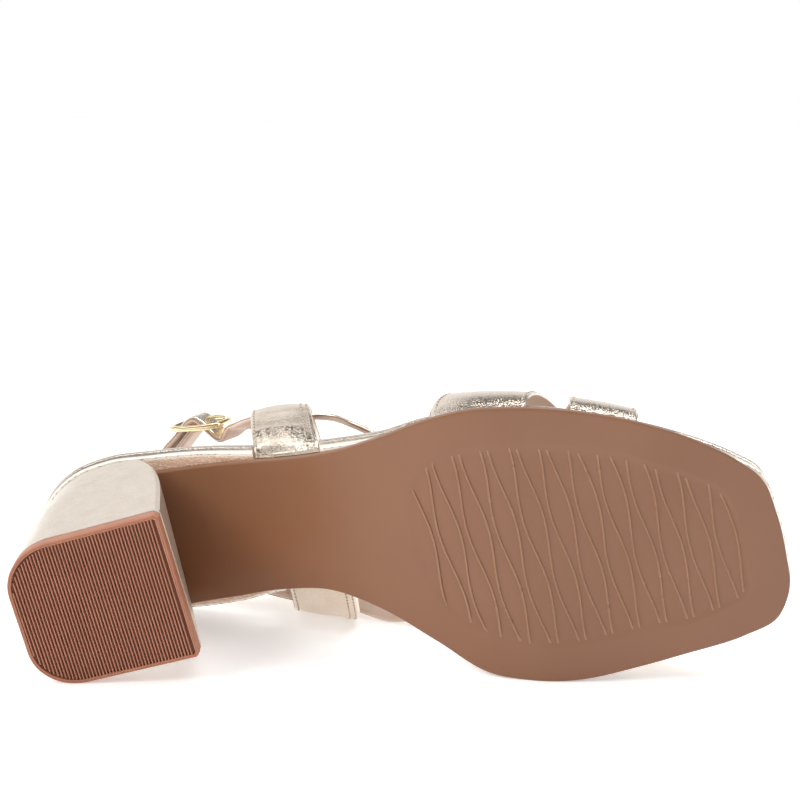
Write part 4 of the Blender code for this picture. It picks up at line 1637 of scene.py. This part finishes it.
@dataclass
class SoleUnit:
    """Outsole with its tread, insole board and footbed."""

    form: SoleForm
    straps: StrapForm
    edge_round: float = 0.6
    outsole_spine: tuple[float, float] = (46.0, 205.0)
    outsole_lanes: int = 34
    layer_spine: tuple[float, float] = (26.0, 200.0)
    layer_lanes: int = 8
    wrapped_round: float = 1.65
    flare: float = 0.6
    # Share of a tab's height that stands beside the board and footbed, and the room round it
    notch_share: float = 0.32
    notch_room: float = 0.05
    # The painted shade at the waist starts from these places and grows towards the heel and the medial side
    waist_shade_front: float = 105.0
    waist_shade_reach: float = 50.0
    waist_shade_side: float = -14.0
    waist_shade_width: float = 32.0
    waist_shade_gain: float = 1.3
    # Pleats in the turned-in leather, on an edge drawn finer, with steps counted in its points
    pleat_turn: float = 55.0
    pleat_seed: int = 7
    pleat_finer: int = 4
    pleat_steps: tuple[int, int] = (6, 24)
    pleat_draws_per: int = 8
    pleat_half_length: tuple[float, float] = (0.35, 0.95)
    pleat_half_width: float = 0.13
    pleat_height: float = 0.07
    pleat_clear_rear: float = 3.0
    pleat_clear_front: float = 1.5
    panel_depth: float = 0.34
    panel_slope: float = 1.3
    # The panel's sides run askew, so a step across the shoe is longer than the step square to them
    panel_skew: float = 0.8
    underside_below: float = 0.01
    ridge_count: int = 22
    ridge_first_x: float = 124.3
    ridge_pitch: float = 4.18
    ridge_slant: float = 0.04
    ridge_wave: float = 1.04
    ridge_wave_length: float = 43.3
    ridge_wave_start: float = 51.1
    ridge_width: float = 1.0
    ridge_height: float = 0.42
    ridge_steps: int = 63
    ridge_inset: float = 0.8
    ridge_pivot: float = 15.0
    ridge_fade: float = 3.0
    # A ridge's section, in half widths and in heights
    ridge_section: Pairs = (
        (-1.0, 0.4), (-0.6, -0.4), (-0.2, -1.0), (0.2, -1.0), (0.6, -0.4), (1.0, 0.4),
    )
    # The tread panel's edges along the shoe
    panel_lateral_rows: Pairs = (
        (119.0, 5.0), (122.0, -6.5), (128.7, -15.2), (138.7, -17.6), (146.0, -17.2), (153.0, -16.3),
        (163.4, -13.2), (174.6, -8.9), (184.3, -4.7), (193.2, 0.6), (200.4, 4.8), (208.2, 10.6),
        (212.2, 14.8), (215.5, 26.0),
    )
    panel_medial_rows: Pairs = (
        (119.0, 9.0), (120.0, 19.5), (123.2, 30.3), (128.4, 38.0), (135.0, 43.0), (144.0, 47.6),
        (152.0, 49.6), (160.0, 50.8), (170.0, 51.4), (185.0, 52.0), (194.0, 52.8), (203.0, 52.2),
        (211.0, 50.2), (215.5, 46.0),
    )

    def __post_init__(self) -> None:
        """Works out the panel's edges."""
        self.panel_lateral = Line(self.panel_lateral_rows)
        self.panel_medial = Line(self.panel_medial_rows)

    def underside(self, x: Array, y: Array, level: Array) -> Array:
        """Height of the outsole's skin, with the tread panel sunk into its underside.

        Args:
            x: Positions along the shoe.
            y: Positions across it.
            level: Levels above the underside.

        Returns:
            Heights over the worn floor.
        """
        ends = np.minimum(x - self.panel_lateral.places[0], self.panel_lateral.places[-1] - x)
        sides = np.minimum(y - self.panel_lateral(x), self.panel_medial(x) - y)
        inside = np.minimum(sides * self.panel_skew, ends)
        sunk = self.panel_depth * ease(inside / self.panel_slope) * (level < self.underside_below)
        return self.form.height(x, level + sunk)

    def notch(self, tab: TabSide, top: float = 90.0, reach: float = 20.0) -> Piece:
        """Tool that clears the board and footbed where a tab passes them.

        Args:
            tab: Which tab.
            top: Height of the tool.
            reach: How far it stands out over the sole.

        Returns:
            The tool.
        """
        side = 1.0 if tab.medial else -1.0
        depth = 2 * self.straps.tab_inset + self.form.gap
        rearward = min(0.0, (tab.rake + self.straps.tab_rear_taper) * self.notch_share)
        rear = self.straps.tab_rear + rearward - self.notch_room
        front = self.straps.tab_front + self.notch_room
        tool = Bench.cube(1.0, cuts=7)
        shares = Bench.points(tool) + 0.5
        x = rear + (front - rear) * shares[:, 0]
        y = self.form.edge(self.form.sole, x, tab.medial) - side * depth
        y = y + side * (depth + reach) * shares[:, 1]
        Bench.move(tool, np.column_stack([x, y, top * shares[:, 2]]))
        Bench.close(tool)
        return tool

    def waist_painted_shade(self, points: Array) -> Array:
        """Share of painted shade and warm painted reflection on the outsole, most by the heel on the medial
        side.

        Args:
            points: Points in shoe millimetres.

        Returns:
            The share at each point.
        """
        rearward = ease((self.waist_shade_front - points[:, 0]) / self.waist_shade_reach)
        medial = ease((points[:, 1] - self.waist_shade_side) / self.waist_shade_width)
        return self.waist_shade_gain * rearward * medial

    def build_outsole(self) -> None:
        """Moulded outsole with a rounded edge, with painted shade and a warm painted reflection at the waist.
        """
        loop, spine = self.form.sole, self.outsole_spine
        plate = Plate("outsole_skin", loop, *spine, self.underside, stations=150, arc=80)
        rows = plate_rows(self.form.outsole_thick, self.edge_round, 0.0, lanes=self.outsole_lanes)
        piece = plate.build(rows, wear_and_shade=self.waist_painted_shade)
        settle(dress(piece, SOLE_RUBBER), "sole_rubber", "outsole")

    def build_layers(self) -> None:
        """Wrapped insole board and footbed, cut back where the tabs pass."""
        form = self.form
        layers = (
            ("insole_board_wrap", "insole_board", BOARD_FOIL, form.board_foot, form.board_thick, 0.0),
            ("footbed_wrap", "footbed", FOOTBED_FOIL, form.footbed_foot, form.footbed_thick, self.flare),
        )
        for name, node, cover, foot, thick, flare in layers:
            plate = Plate(
                name,
                form.board,
                *self.layer_spine,
                lambda x, y, level: form.height(x, level),
                stations=130,
                arc=70,
            )
            rows = plate_rows(thick, self.wrapped_round, foot, flare, self.layer_lanes)
            turned_in = (self.layer_lanes + 0.5) / (len(rows) - 1)
            piece = plate.build(rows, lambda around, over: (over < turned_in).astype(int))
            for tab in (self.straps.lateral_tab, self.straps.medial_tab):
                Bench.cut(piece, self.notch(tab))
            Bench.smooth(piece)
            settle(dress(piece, cover, TURNED_FOIL), "gold_leather", node)

    def ridge(self, number: int) -> Piece:
        """One wavy ridge of the tread, across the forefoot.

        Args:
            number: Its place in the row, from the waist.

        Returns:
            The ridge.
        """
        x = self.ridge_first_x + number * self.ridge_pitch
        lateral = float(self.panel_lateral(x)) + self.ridge_inset
        medial = float(self.panel_medial(x)) - self.ridge_inset
        y = np.linspace(lateral, medial, self.ridge_steps + 1)
        wave = 2 * math.pi * (y - self.ridge_wave_start) / self.ridge_wave_length + math.pi * number
        path_x = x + self.ridge_slant * (y - self.ridge_pivot) + self.ridge_wave * np.cos(wave)
        swell = np.minimum(1.0, np.minimum(y - lateral, medial - y) / self.ridge_fade) ** 0.5
        section = np.array(self.ridge_section)
        sides = len(section)

        def place(along: Array, around: Array) -> Array:
            """Points of the ridge's skin.

            Args:
                along: Shares of its length.
                around: Shares of the way round its section.

            Returns:
                Points in shoe millimetres.
            """
            i = np.rint(along * self.ridge_steps).astype(int)
            wide, level = section[np.rint(around * sides).astype(int) % sides].T
            px = path_x[i] + wide * self.ridge_width / 2
            level = self.panel_depth + level * self.ridge_height * swell[i]
            return np.column_stack([px, y[i], self.form.height(px, level)])

        return Bench.patch(f"ridge_{number}", self.ridge_steps, sides, place)

    def build_rand_pleats(self) -> None:
        """Small dark marks of painted shade where the leather pleats as it turns in under the board."""
        loop, span = self.form.board, self.layer_spine
        plate = Plate("rand", loop, *span, lambda x, y, level: level, stations=200, arc=120)
        edge, spine = (resample(line, self.pleat_finer * len(line)) for line in plate.outline())
        ahead = unit(np.roll(edge, -1, axis=0) - np.roll(edge, 1, axis=0))
        outward = np.stack([ahead[:, 1], -ahead[:, 0]], axis=1)
        outward *= np.where(np.sum((edge - spine) * outward, axis=1, keepdims=True) > 0, 1.0, -1.0)
        behind = edge[:, 0] < self.straps.tab_rear - self.pleat_clear_rear
        clear = behind | (edge[:, 0] > self.straps.tab_front + self.pleat_clear_front)
        chance = np.random.default_rng(self.pleat_seed)
        at = np.cumsum(chance.integers(*self.pleat_steps, size=len(edge) // self.pleat_draws_per))
        at = at[at < len(edge)]
        at = at[clear[at]]
        turn = math.radians(self.pleat_turn)
        inset = self.wrapped_round * (1.0 - math.cos(turn))
        level = self.form.board_foot + self.wrapped_round * (1.0 - math.sin(turn))
        flat = edge[at] - outward[at] * inset
        middles = np.column_stack([flat, self.form.height(flat[:, 0], level)])
        out = np.column_stack([outward[at] * math.cos(turn), np.full(len(at), -math.sin(turn))])
        along = np.column_stack([ahead[at], np.zeros(len(at))])
        long = chance.uniform(*self.pleat_half_length, len(at))[:, None]
        wide = np.cross(out, along) * self.pleat_half_width
        frames = np.stack([along * long, wide, out * self.pleat_height], axis=1)
        Bench.clear_selection()
        bpy.ops.mesh.primitive_ico_sphere_add(subdivisions=1, radius=1.0)
        piece = Bench.repeat("rand_pleat_shade", bpy.context.object, middles, frames)
        settle(dress(piece, HOLE_AND_PLEAT_SHADE), "gold_leather")

    def build_tread(self) -> None:
        """Wavy ridges under the forefoot."""
        ridges = [self.ridge(number) for number in range(self.ridge_count)]
        settle(dress(Bench.join("tread_ridges", ridges), RIDGE_RUBBER), "sole_rubber")

    def build(self) -> None:
        """Makes the sole's pieces."""
        self.build_outsole()
        self.build_layers()
        self.build_rand_pleats()
        self.build_tread()


@dataclass
class Heel:
    """Covered block heel and its ribbed top lift."""

    form: SoleForm
    levels: int = 90
    outline_points: int = 220
    # Rows over the block's two ends, as shares of their outline
    caps: tuple[float, ...] = (0.0, 0.35, 0.7, 0.95)
    # Radius of the bead round the foot of the cover, and how far in and up its middle lies, in radii
    cord: float = 0.42
    cord_inset: float = 0.6
    cord_rise: float = 0.9
    lift_spine: tuple[float, float] = (17.0, 45.0)
    lift_lanes: tuple[float, ...] = (0.0, 0.4, 0.8)
    rim: float = 1.25
    groove: float = 0.8
    # The rim's face from its inner edge out: how far from that edge, and the level
    rim_rows: Pairs = (
        (0.1, 0.1), (0.25, 0.0), (0.45, 0.0), (0.55, 0.12), (0.65, 0.12), (0.75, 0.0),
    )
    # The lift's side: how far in from the outline, and the level
    side_rows: Pairs = ((0.15, 0.12), (0.0, 0.5), (0.0, 2.5))
    rib_pitch: float = 1.0
    rib_width: float = 0.55
    # A rib's crest as a share of its width, room round the row of ribs, and how deep they are set in
    rib_crest: float = 0.55
    rib_end_room: float = 0.4
    rib_side_room: float = 0.15
    rib_side_share: float = 0.8
    rib_sunk: float = 0.02
    wrinkles: tuple[Crease, ...] = (
        Crease(14.0, 41.0, 18.0, 5.5, 0.5, 0.14),
        Crease(20.0, 44.5, 8.0, 7.0, 0.55, 0.16),
        Crease(24.5, 39.0, -12.0, 5.0, 0.5, 0.13),
        Crease(29.0, 46.5, -6.0, 6.0, 0.5, 0.15),
        Crease(12.0, 35.0, 30.0, 4.0, 0.45, 0.11),
        Crease(31.5, 41.5, 22.0, 4.5, 0.5, 0.12),
        Crease(19.0, 34.0, -20.0, 4.5, 0.45, 0.11),
        Crease(26.0, 50.0, 12.0, 5.5, 0.5, 0.13),
        Crease(9.0, 46.0, 40.0, 4.5, 0.5, 0.12),
    )

    def outline(self, share: float) -> Array:
        """Heel outline at a share of its height, at even steps."""
        ring = self.form.heel_ring(share)
        return resample(np.vstack([ring, ring[:1]]), self.outline_points + 1)[:-1]

    def build_block(self) -> None:
        """Block from the top lift up to the board, covered in leather that wrinkles under the seat."""
        foot = self.form.lift_thick + self.form.gap
        shares = np.linspace(0.0, 1.0, self.levels)
        rings = np.array([self.outline(share) for share in shares])
        rows = [(0, cap) for cap in self.caps] + [(i, 1.0) for i in range(self.levels)]
        rows += [(self.levels - 1, cap) for cap in reversed(self.caps)]
        table = np.array(rows)
        columns = rings.shape[1]

        def place(around: Array, up: Array) -> Array:
            """Points of the cover, pressed in by its wrinkles.

            Args:
                around: Shares of the way round the heel.
                up: Shares of the rows from the foot's middle to the top's.

            Returns:
                Points in shoe millimetres.
            """
            i = np.rint(around * columns).astype(int) % columns
            level, size = table[np.rint(up * (len(rows) - 1)).astype(int)].T
            level = level.astype(int)
            centre = rings.mean(axis=1)[level]
            flat = centre + (rings[level, i] - centre) * size[:, None]
            seat = self.form.height(flat[:, 0], self.form.board_foot) - self.form.gap
            z = foot + (seat - foot) * shares[level]
            for wrinkle in self.wrinkles:
                pressed = trough(flat[:, 0] - wrinkle.along, z - wrinkle.across, wrinkle) * (size == 1.0)
                flat[:, 1] -= np.sign(flat[:, 1]) * pressed
            return np.column_stack([flat, z])

        piece = Bench.patch("heel_cover", columns, len(rows) - 1, place)
        settle(dress(piece, HEEL_CALF), "heel_leather", "heel_block")
        ring = self.outline(0.0)
        ring = ring - unit(ring - ring.mean(axis=0)) * self.cord * self.cord_inset
        path = np.column_stack([ring, np.full(len(ring), foot + self.cord * self.cord_rise)])
        bead = Bench.tube("heel_cover_bead", path, self.cord, sides=10, closed=True)
        settle(dress(bead, HEEL_CALF), "heel_leather")

    def build_lift(self) -> None:
        """Top lift with a raised rim and fine ribs."""
        ring = self.form.heel_ring(0.0, arc=24, side=14)
        loop, top = ring[::-1], self.form.lift_thick
        plate = Plate("top_lift_skin", loop, *self.lift_spine, lambda x, y, level: level, stations=40, arc=60)
        floor = [Row(self.rim, share, self.groove) for share in (*self.lift_lanes, 1.0)]
        rows = floor + [Row(self.rim - step, 1.0, level) for step, level in self.rim_rows]
        rows += [Row(inset, 1.0, level) for inset, level in (*self.side_rows, (0.0, top))]
        rows += [Row(0.0, share, top) for share in reversed(self.lift_lanes)]
        bottom = (len(floor) - 0.5) / (len(rows) - 1)
        piece = plate.build(rows, lambda around, over: (over < bottom).astype(int))
        settle(dress(piece, LIFT_RUBBER, LIFT_GROOVE), "lift_rubber", "top_lift")
        edge, _ = plate.outline()
        self.build_ribs(edge)

    def build_ribs(self, edge: Array) -> None:
        """Ribs across the lift, inside its rim.

        Args:
            edge: The lift's outline.
        """
        rear = edge[:, 0].min() + self.rim + self.rib_end_room
        front = edge[:, 0].max() - self.rim - self.rib_end_room
        lateral, medial = edge[edge[:, 1] < 0], edge[edge[:, 1] >= 0]
        lateral, medial = lateral[np.argsort(lateral[:, 0])], medial[np.argsort(medial[:, 0])]
        xs = np.arange(rear, front, self.rib_pitch)
        reach = self.rim + self.rib_side_room
        inset = reach * self.rib_side_share
        near = (xs - reach, xs)
        low = np.maximum(*(np.interp(place, *lateral.T) for place in near)) + inset
        high = np.minimum(*(np.interp(place, *medial.T) for place in near)) - inset
        rib = Bench.cube(1.0, cuts=1)
        shape = Bench.points(rib)
        at_crest = shape[:, 2] == shape[:, 2].min()
        shape[:, 0] *= np.where(at_crest, self.rib_crest, 1.0)
        rib.data.vertices.foreach_set("co", shape.ravel())
        middles = np.column_stack([xs, (low + high) / 2, np.full_like(xs, self.groove / 2 + self.rib_sunk)])
        frames = np.zeros((len(xs), 3, 3))
        frames[:, 0, 0] = self.rib_width
        frames[:, 1, 1] = high - low
        frames[:, 2, 2] = self.groove + 2 * self.rib_sunk
        settle(dress(Bench.repeat("lift_ribs", rib, middles, frames), LIFT_RUBBER), "lift_rubber")

    def build(self) -> None:
        """Makes the heel's pieces."""
        self.build_block()
        self.build_lift()


@dataclass
class Upper:
    """Wide crossing straps, folded side tabs and the thin strap."""

    form: SoleForm
    straps: StrapForm
    strap_thick: float = 1.35
    # How much thinner the wide straps get at their ends
    vamp_skive: float = 1.25
    # Insets of the rows of stitches, from the far edge if below zero, and shares of the length that they run
    vamp_seams: tuple[float, ...] = (1.5, -1.5)
    vamp_seam_span: tuple[float, float] = (0.02, 0.98)
    tab_seams: tuple[float, ...] = (1.4, -1.4, -3.4)
    tab_seam_span: tuple[float, float] = (0.02, 0.46)
    sling_per_span: int = 10
    hold: float = 0.14
    sway_end: float = 0.4
    climb_start: float = 0.14
    climb_span: float = 0.18
    over: VampStrap = VampStrap("over_strap", 147.0, 187.0, 28.0, 27.0, 1.6, 0.0, 2.5)
    under: VampStrap = VampStrap("under_strap", 182.9, 150.0, 18.6, 25.0, 0.0, 1.0, 3.0)
    vamp_creases: dict[str, tuple[Crease, ...]] = field(
        default_factory=lambda: {
            "over_strap": (
                Crease(0.12, 0.35, 78.0, 8.0, 0.9, 0.3),
                Crease(0.17, 0.68, 100.0, 6.5, 0.8, 0.24),
                Crease(0.3, 0.5, 84.0, 9.0, 1.2, 0.26),
                Crease(0.55, 0.4, 96.0, 10.0, 1.4, 0.28),
                Crease(0.8, 0.55, 82.0, 9.0, 1.1, 0.3),
            ),
            "under_strap": (
                Crease(0.13, 0.5, 84.0, 6.0, 0.8, 0.26),
                Crease(0.22, 0.4, 98.0, 7.0, 0.9, 0.22),
                Crease(0.72, 0.55, 92.0, 9.0, 1.2, 0.28),
                Crease(0.87, 0.45, 80.0, 8.0, 1.0, 0.28),
            ),
        }
    )
    tab_creases: tuple[Crease, ...] = (
        Crease(0.055, 0.4, 86.0, 7.0, 1.2, 0.1),
        Crease(0.2, 0.62, 96.0, 6.0, 1.4, 0.05),
        Crease(0.31, 0.3, 84.0, 5.0, 0.9, 0.16),
        Crease(0.4, 0.55, 92.0, 9.0, 1.2, 0.2),
    )
    seams: Seams = field(default_factory=Seams)

    def vamp_surface(self, strap: VampStrap) -> OfShares:
        """Inner face of one wide strap over the last.

        Args:
            strap: Which strap.

        Returns:
            Function of the shares along the strap and across it.
        """

        def surface(along: Array, across: Array) -> Array:
            """Points of the strap's inner face.

            Args:
                along: Shares from the lateral end to the medial end.
                across: Shares from the rear edge to the front edge.

            Returns:
                Points in shoe millimetres.
            """
            held = ease((along - self.hold) / (1 - 2 * self.hold))
            crossing = along + strap.steady * (held - along)
            centre = strap.lateral_x + (strap.medial_x - strap.lateral_x) * crossing
            centre = centre + strap.sway * np.sin(math.pi * np.clip(along / self.sway_end, 0.0, 1.0))
            width = strap.lateral_width + (strap.medial_width - strap.lateral_width) * along
            climb = ease((along - self.climb_start) / self.climb_span)
            climb = climb * ease((1 - self.climb_start - along) / self.climb_span)
            return self.form.last(centre + (across - 0.5) * width, along, strap.lift * climb)

        return surface

    def build_vamp(self) -> None:
        """Two wide straps that cross over the toes."""
        for strap in (self.over, self.under):
            width = (strap.lateral_width + strap.medial_width) / 2
            surface, creases = self.vamp_surface(strap), self.vamp_creases[strap.name]
            strip = Strip(
                strap.name,
                surface,
                width,
                low=0.0,
                high=self.strap_thick,
                side=-1.0,
                steps=220,
                lanes=26,
                creases=creases,
                skive=self.vamp_skive,
            )
            settle(dress(strip.build(), GOLD_FOIL, LINING), "gold_leather", "vamp_straps")
            for inset in self.vamp_seams:
                self.seams.on_strip(strip, inset, *self.vamp_seam_span)

    def build_tabs(self) -> None:
        """Folded side tabs."""
        half = self.straps.tab_leather / 2
        for tab in (self.straps.lateral_tab, self.straps.medial_tab):
            side = 1.0 if tab.medial else -1.0
            width = self.straps.tab_front - self.straps.tab_rear
            name, surface = tab.name + "_leather", self.straps.tab_surface(tab)
            strip = Strip(
                name, surface, width, -half, half, side, steps=190, lanes=24, creases=self.tab_creases
            )
            settle(dress(strip.build(), GOLD_FOIL, LINING), "gold_leather", tab.name)
            for inset in self.tab_seams:
                self.seams.on_strip(strip, inset, *self.tab_seam_span)

    def build_sling(self) -> None:
        """Thin strap from the buckle round the heel, through both tabs and back."""
        line, across = self.straps.sling_line(self.sling_per_span)
        last = len(line) - 1
        steps = np.arange(last + 1) / last

        def along_line(share: Array, columns: Array) -> Array:
            """Columns' values at shares of the strap's steps."""
            return np.stack([np.interp(share, steps, column) for column in columns.T], axis=-1)

        def surface(along: Array, over: Array) -> Array:
            """Points of the strap's middle, for shares along it and across it."""
            wide = ((over - 0.5) * self.straps.sling_width)[..., None]
            return along_line(along, line) + along_line(along, across) * wide

        half = self.straps.sling_thick / 2
        strip = Strip(
            "sling_leather",
            surface,
            self.straps.sling_width,
            low=-half,
            high=half,
            side=-1.0,
            steps=last,
            lanes=8,
            bends=7,
            edge_seam=True,
        )
        settle(dress(strip.build(), GOLD_FOIL, LINING, EDGE_GLUE), "gold_leather", "sling_strap")

    def build(self) -> None:
        """Makes the upper's pieces and their stitches."""
        self.build_vamp()
        self.build_tabs()
        self.build_sling()
        self.seams.build("upper_stitches", "upper_needle_holes")


@dataclass
class Buckle:
    """Gilt frame with a centre bar, and its prong."""

    straps: StrapForm
    half_long: float = 9.5
    half_wide: float = 6.6
    squareness: float = 4.0
    wire: float = 1.05
    bar: float = 0.85
    ring_points: int = 72
    bar_points: int = 5
    # The prong's middle line, along the buckle and out from it, and its radii at root and tip
    prong_rows: Pairs = (
        (1.9, 0.1), (3.4, 1.7), (5.6, 2.4), (8.6, 2.3), (10.9, 1.8),
    )
    prong_per_span: int = 8
    prong_radii: tuple[float, float] = (0.72, 0.6)

    def build(self) -> None:
        """Makes the frame with its bar, and the prong."""
        turn = np.linspace(0.0, 2 * math.pi, self.ring_points, endpoint=False)
        power = 2.0 / self.squareness
        along = self.half_long * signed_power(np.cos(turn), power)
        across = self.half_wide * signed_power(np.sin(turn), power)
        path = self.straps.at_buckle(along, 0.0, across)
        frame = Bench.tube("buckle_ring", path, self.wire, sides=16, closed=True)
        path = self.straps.at_buckle(0.0, 0.0, np.linspace(-self.half_wide, self.half_wide, self.bar_points))
        bar = Bench.tube("bar", path, self.bar, sides=14)
        settle(dress(Bench.join("buckle_ring", [frame, bar]), GILT), "gilt_metal", "buckle_frame")
        path = smooth_chain(self.straps.at_buckle(*np.array(self.prong_rows).T), self.prong_per_span)
        prong = Bench.tube("buckle_tongue", path, np.linspace(*self.prong_radii, len(path)))
        settle(dress(prong, GILT), "gilt_metal", "buckle_prong")


class Direction(Enum):
    """Ways to measure where a card stands: along an axis, or by its lean, which is y over z."""

    X = "X"
    Y = "Y"
    Z = "Z"
    LEAN = "lean"


class Limit(NamedTuple):
    """A card's soft edge, from where it starts to show to where it shows whole."""

    direction: Direction
    outer: float
    inner: float


class Card(NamedTuple):
    """A bright or dark card in the studio, between its limits."""

    light: float
    limits: tuple[Limit, ...]


@dataclass
class Studio:
    """Floor, lights and camera."""

    camera_place: tuple[float, float, float] = (125.95, -131.93, -400.75)
    camera_aim: tuple[float, float, float] = (125.95, -37.2, 0.0)
    camera_right: tuple[float, float, float] = (0.9677, 0.2453, -0.058)
    lens: float = 64.1
    sensor: float = 36.0
    near_clip: float = 0.01
    floor_half: float = 12.0
    light_from: tuple[float, float, float] = (-0.95, -0.42, 0.85)
    light_power: float = 2.05
    light_angle: float = 32.0
    table_light: float = 0.36
    wall_light: float = 0.76
    # Lowest height that a lean is measured with
    lean_height: float = 0.05
    cards: tuple[Card, ...] = (
        Card(0.5, (Limit(Direction.Z, 0.12, 0.4),)),
        Card(1.0, (Limit(Direction.Y, -0.1, 0.2),)),
        Card(0.02, (Limit(Direction.LEAN, 0.3, 0.34), Limit(Direction.LEAN, 0.8, 0.66))),
        Card(
            0.16,
            (
                Limit(Direction.X, -0.2, -0.08),
                Limit(Direction.LEAN, 0.36, 0.4),
                Limit(Direction.LEAN, 1.8, 1.2),
            ),
        ),
        Card(0.06, (Limit(Direction.LEAN, -0.7, -0.5), Limit(Direction.LEAN, -0.02, -0.06))),
        Card(3.4, (Limit(Direction.LEAN, -0.02, 0.04), Limit(Direction.LEAN, 0.27, 0.23))),
        Card(
            5.0,
            (
                Limit(Direction.X, -0.16, -0.06),
                Limit(Direction.LEAN, 0.06, 0.1),
                Limit(Direction.LEAN, 0.44, 0.38),
            ),
        ),
    )

    def build_floor(self) -> None:
        """White light table, wide enough to reach the horizon."""
        Bench.clear_selection()
        bpy.ops.mesh.primitive_plane_add(size=2 * self.floor_half)
        floor = bpy.context.object
        floor.name = floor.data.name = "studio_floor"
        dress(floor, FLOOR_PAPER)
        shader = floor.data.materials[0].node_tree.nodes["Principled BSDF"]
        shader.inputs["Emission Color"].default_value = (1.0, 1.0, 1.0, 1.0)
        shader.inputs["Emission Strength"].default_value = self.table_light

    def build_camera(self) -> None:
        """Camera where the photograph was taken from."""
        place = Vector(Bench.axes.place(np.array(self.camera_place)))
        aim = Vector(Bench.axes.place(np.array(self.camera_aim)))
        back = (place - aim).normalized()
        right = Bench.axes.direction(self.camera_right)
        right = (right - back * right.dot(back)).normalized()
        turn = Matrix((right, back.cross(right), back)).transposed()
        bpy.ops.object.camera_add()
        camera = bpy.context.object
        camera.matrix_world = Matrix.Translation(place) @ turn.to_4x4()
        camera.data.lens = self.lens
        camera.data.sensor_width = self.sensor
        camera.data.clip_start = self.near_clip
        bpy.context.scene.camera = camera

    def build_light(self) -> None:
        """One wide, soft light from high on the heel's side, in front of the sole."""
        bpy.ops.object.light_add(type="SUN")
        light = bpy.context.object
        light.rotation_euler = (-Vector(self.light_from)).to_track_quat("-Z", "Y").to_euler()
        light.data.energy = self.light_power
        light.data.angle = math.radians(self.light_angle)
        light.visible_glossy = False

    def build_world(self) -> None:
        """Studio surroundings: an even light with cards held in it, each with soft edges."""
        world = bpy.data.worlds.new("studio_white")
        world.use_nodes = True
        tree = world.node_tree
        where = add_node(tree, "TexCoord", {})["Generated"]
        parts = add_node(tree, "SeparateXYZ", {0: where})
        height = add_node(tree, "Math", {0: parts["Z"], 1: self.lean_height}, operation="MAXIMUM")[0]
        ways = {way: parts[way.value] for way in (Direction.X, Direction.Y, Direction.Z)}
        ways[Direction.LEAN] = add_node(tree, "Math", {0: parts["Y"], 1: height}, operation="DIVIDE")[0]
        strength = self.wall_light
        for card in self.cards:
            shown = 1.0
            for limit in card.limits:
                fade = {"Value": ways[limit.direction], "From Min": limit.outer, "From Max": limit.inner}
                edge = add_node(tree, "MapRange", fade, interpolation_type="SMOOTHSTEP")["Result"]
                shown = add_node(tree, "Math", {0: shown, 1: edge}, operation="MULTIPLY")[0]
            change = add_node(tree, "Math", {0: card.light, 1: strength}, operation="SUBTRACT")[0]
            strength = add_node(
                tree, "Math", {0: shown, 1: change, 2: strength}, operation="MULTIPLY_ADD"
            )[0]
        tree.links.new(strength, tree.nodes["Background"].inputs["Strength"])
        tree.nodes["Background"].inputs["Color"].default_value = (1.0, 1.0, 1.0, 1.0)
        bpy.context.scene.world = world

    def build(self) -> None:
        """Sets up the studio."""
        self.build_floor()
        self.build_camera()
        self.build_light()
        self.build_world()
        bpy.context.scene.view_settings.view_transform = "Standard"


def main() -> None:
    """Builds the sandal's looks piece by piece, then the studio."""
    logging.basicConfig(level=logging.INFO, format="%(name)s: %(message)s")
    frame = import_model()
    Bench.axes = ShoeAxes(frame["record"])
    form = SoleForm()
    straps = StrapForm(form)
    SoleUnit(form, straps).build()
    Heel(form).build()
    Upper(form, straps).build()
    Buckle(straps).build()
    Studio().build()


if __name__ == "__main__":
    main()
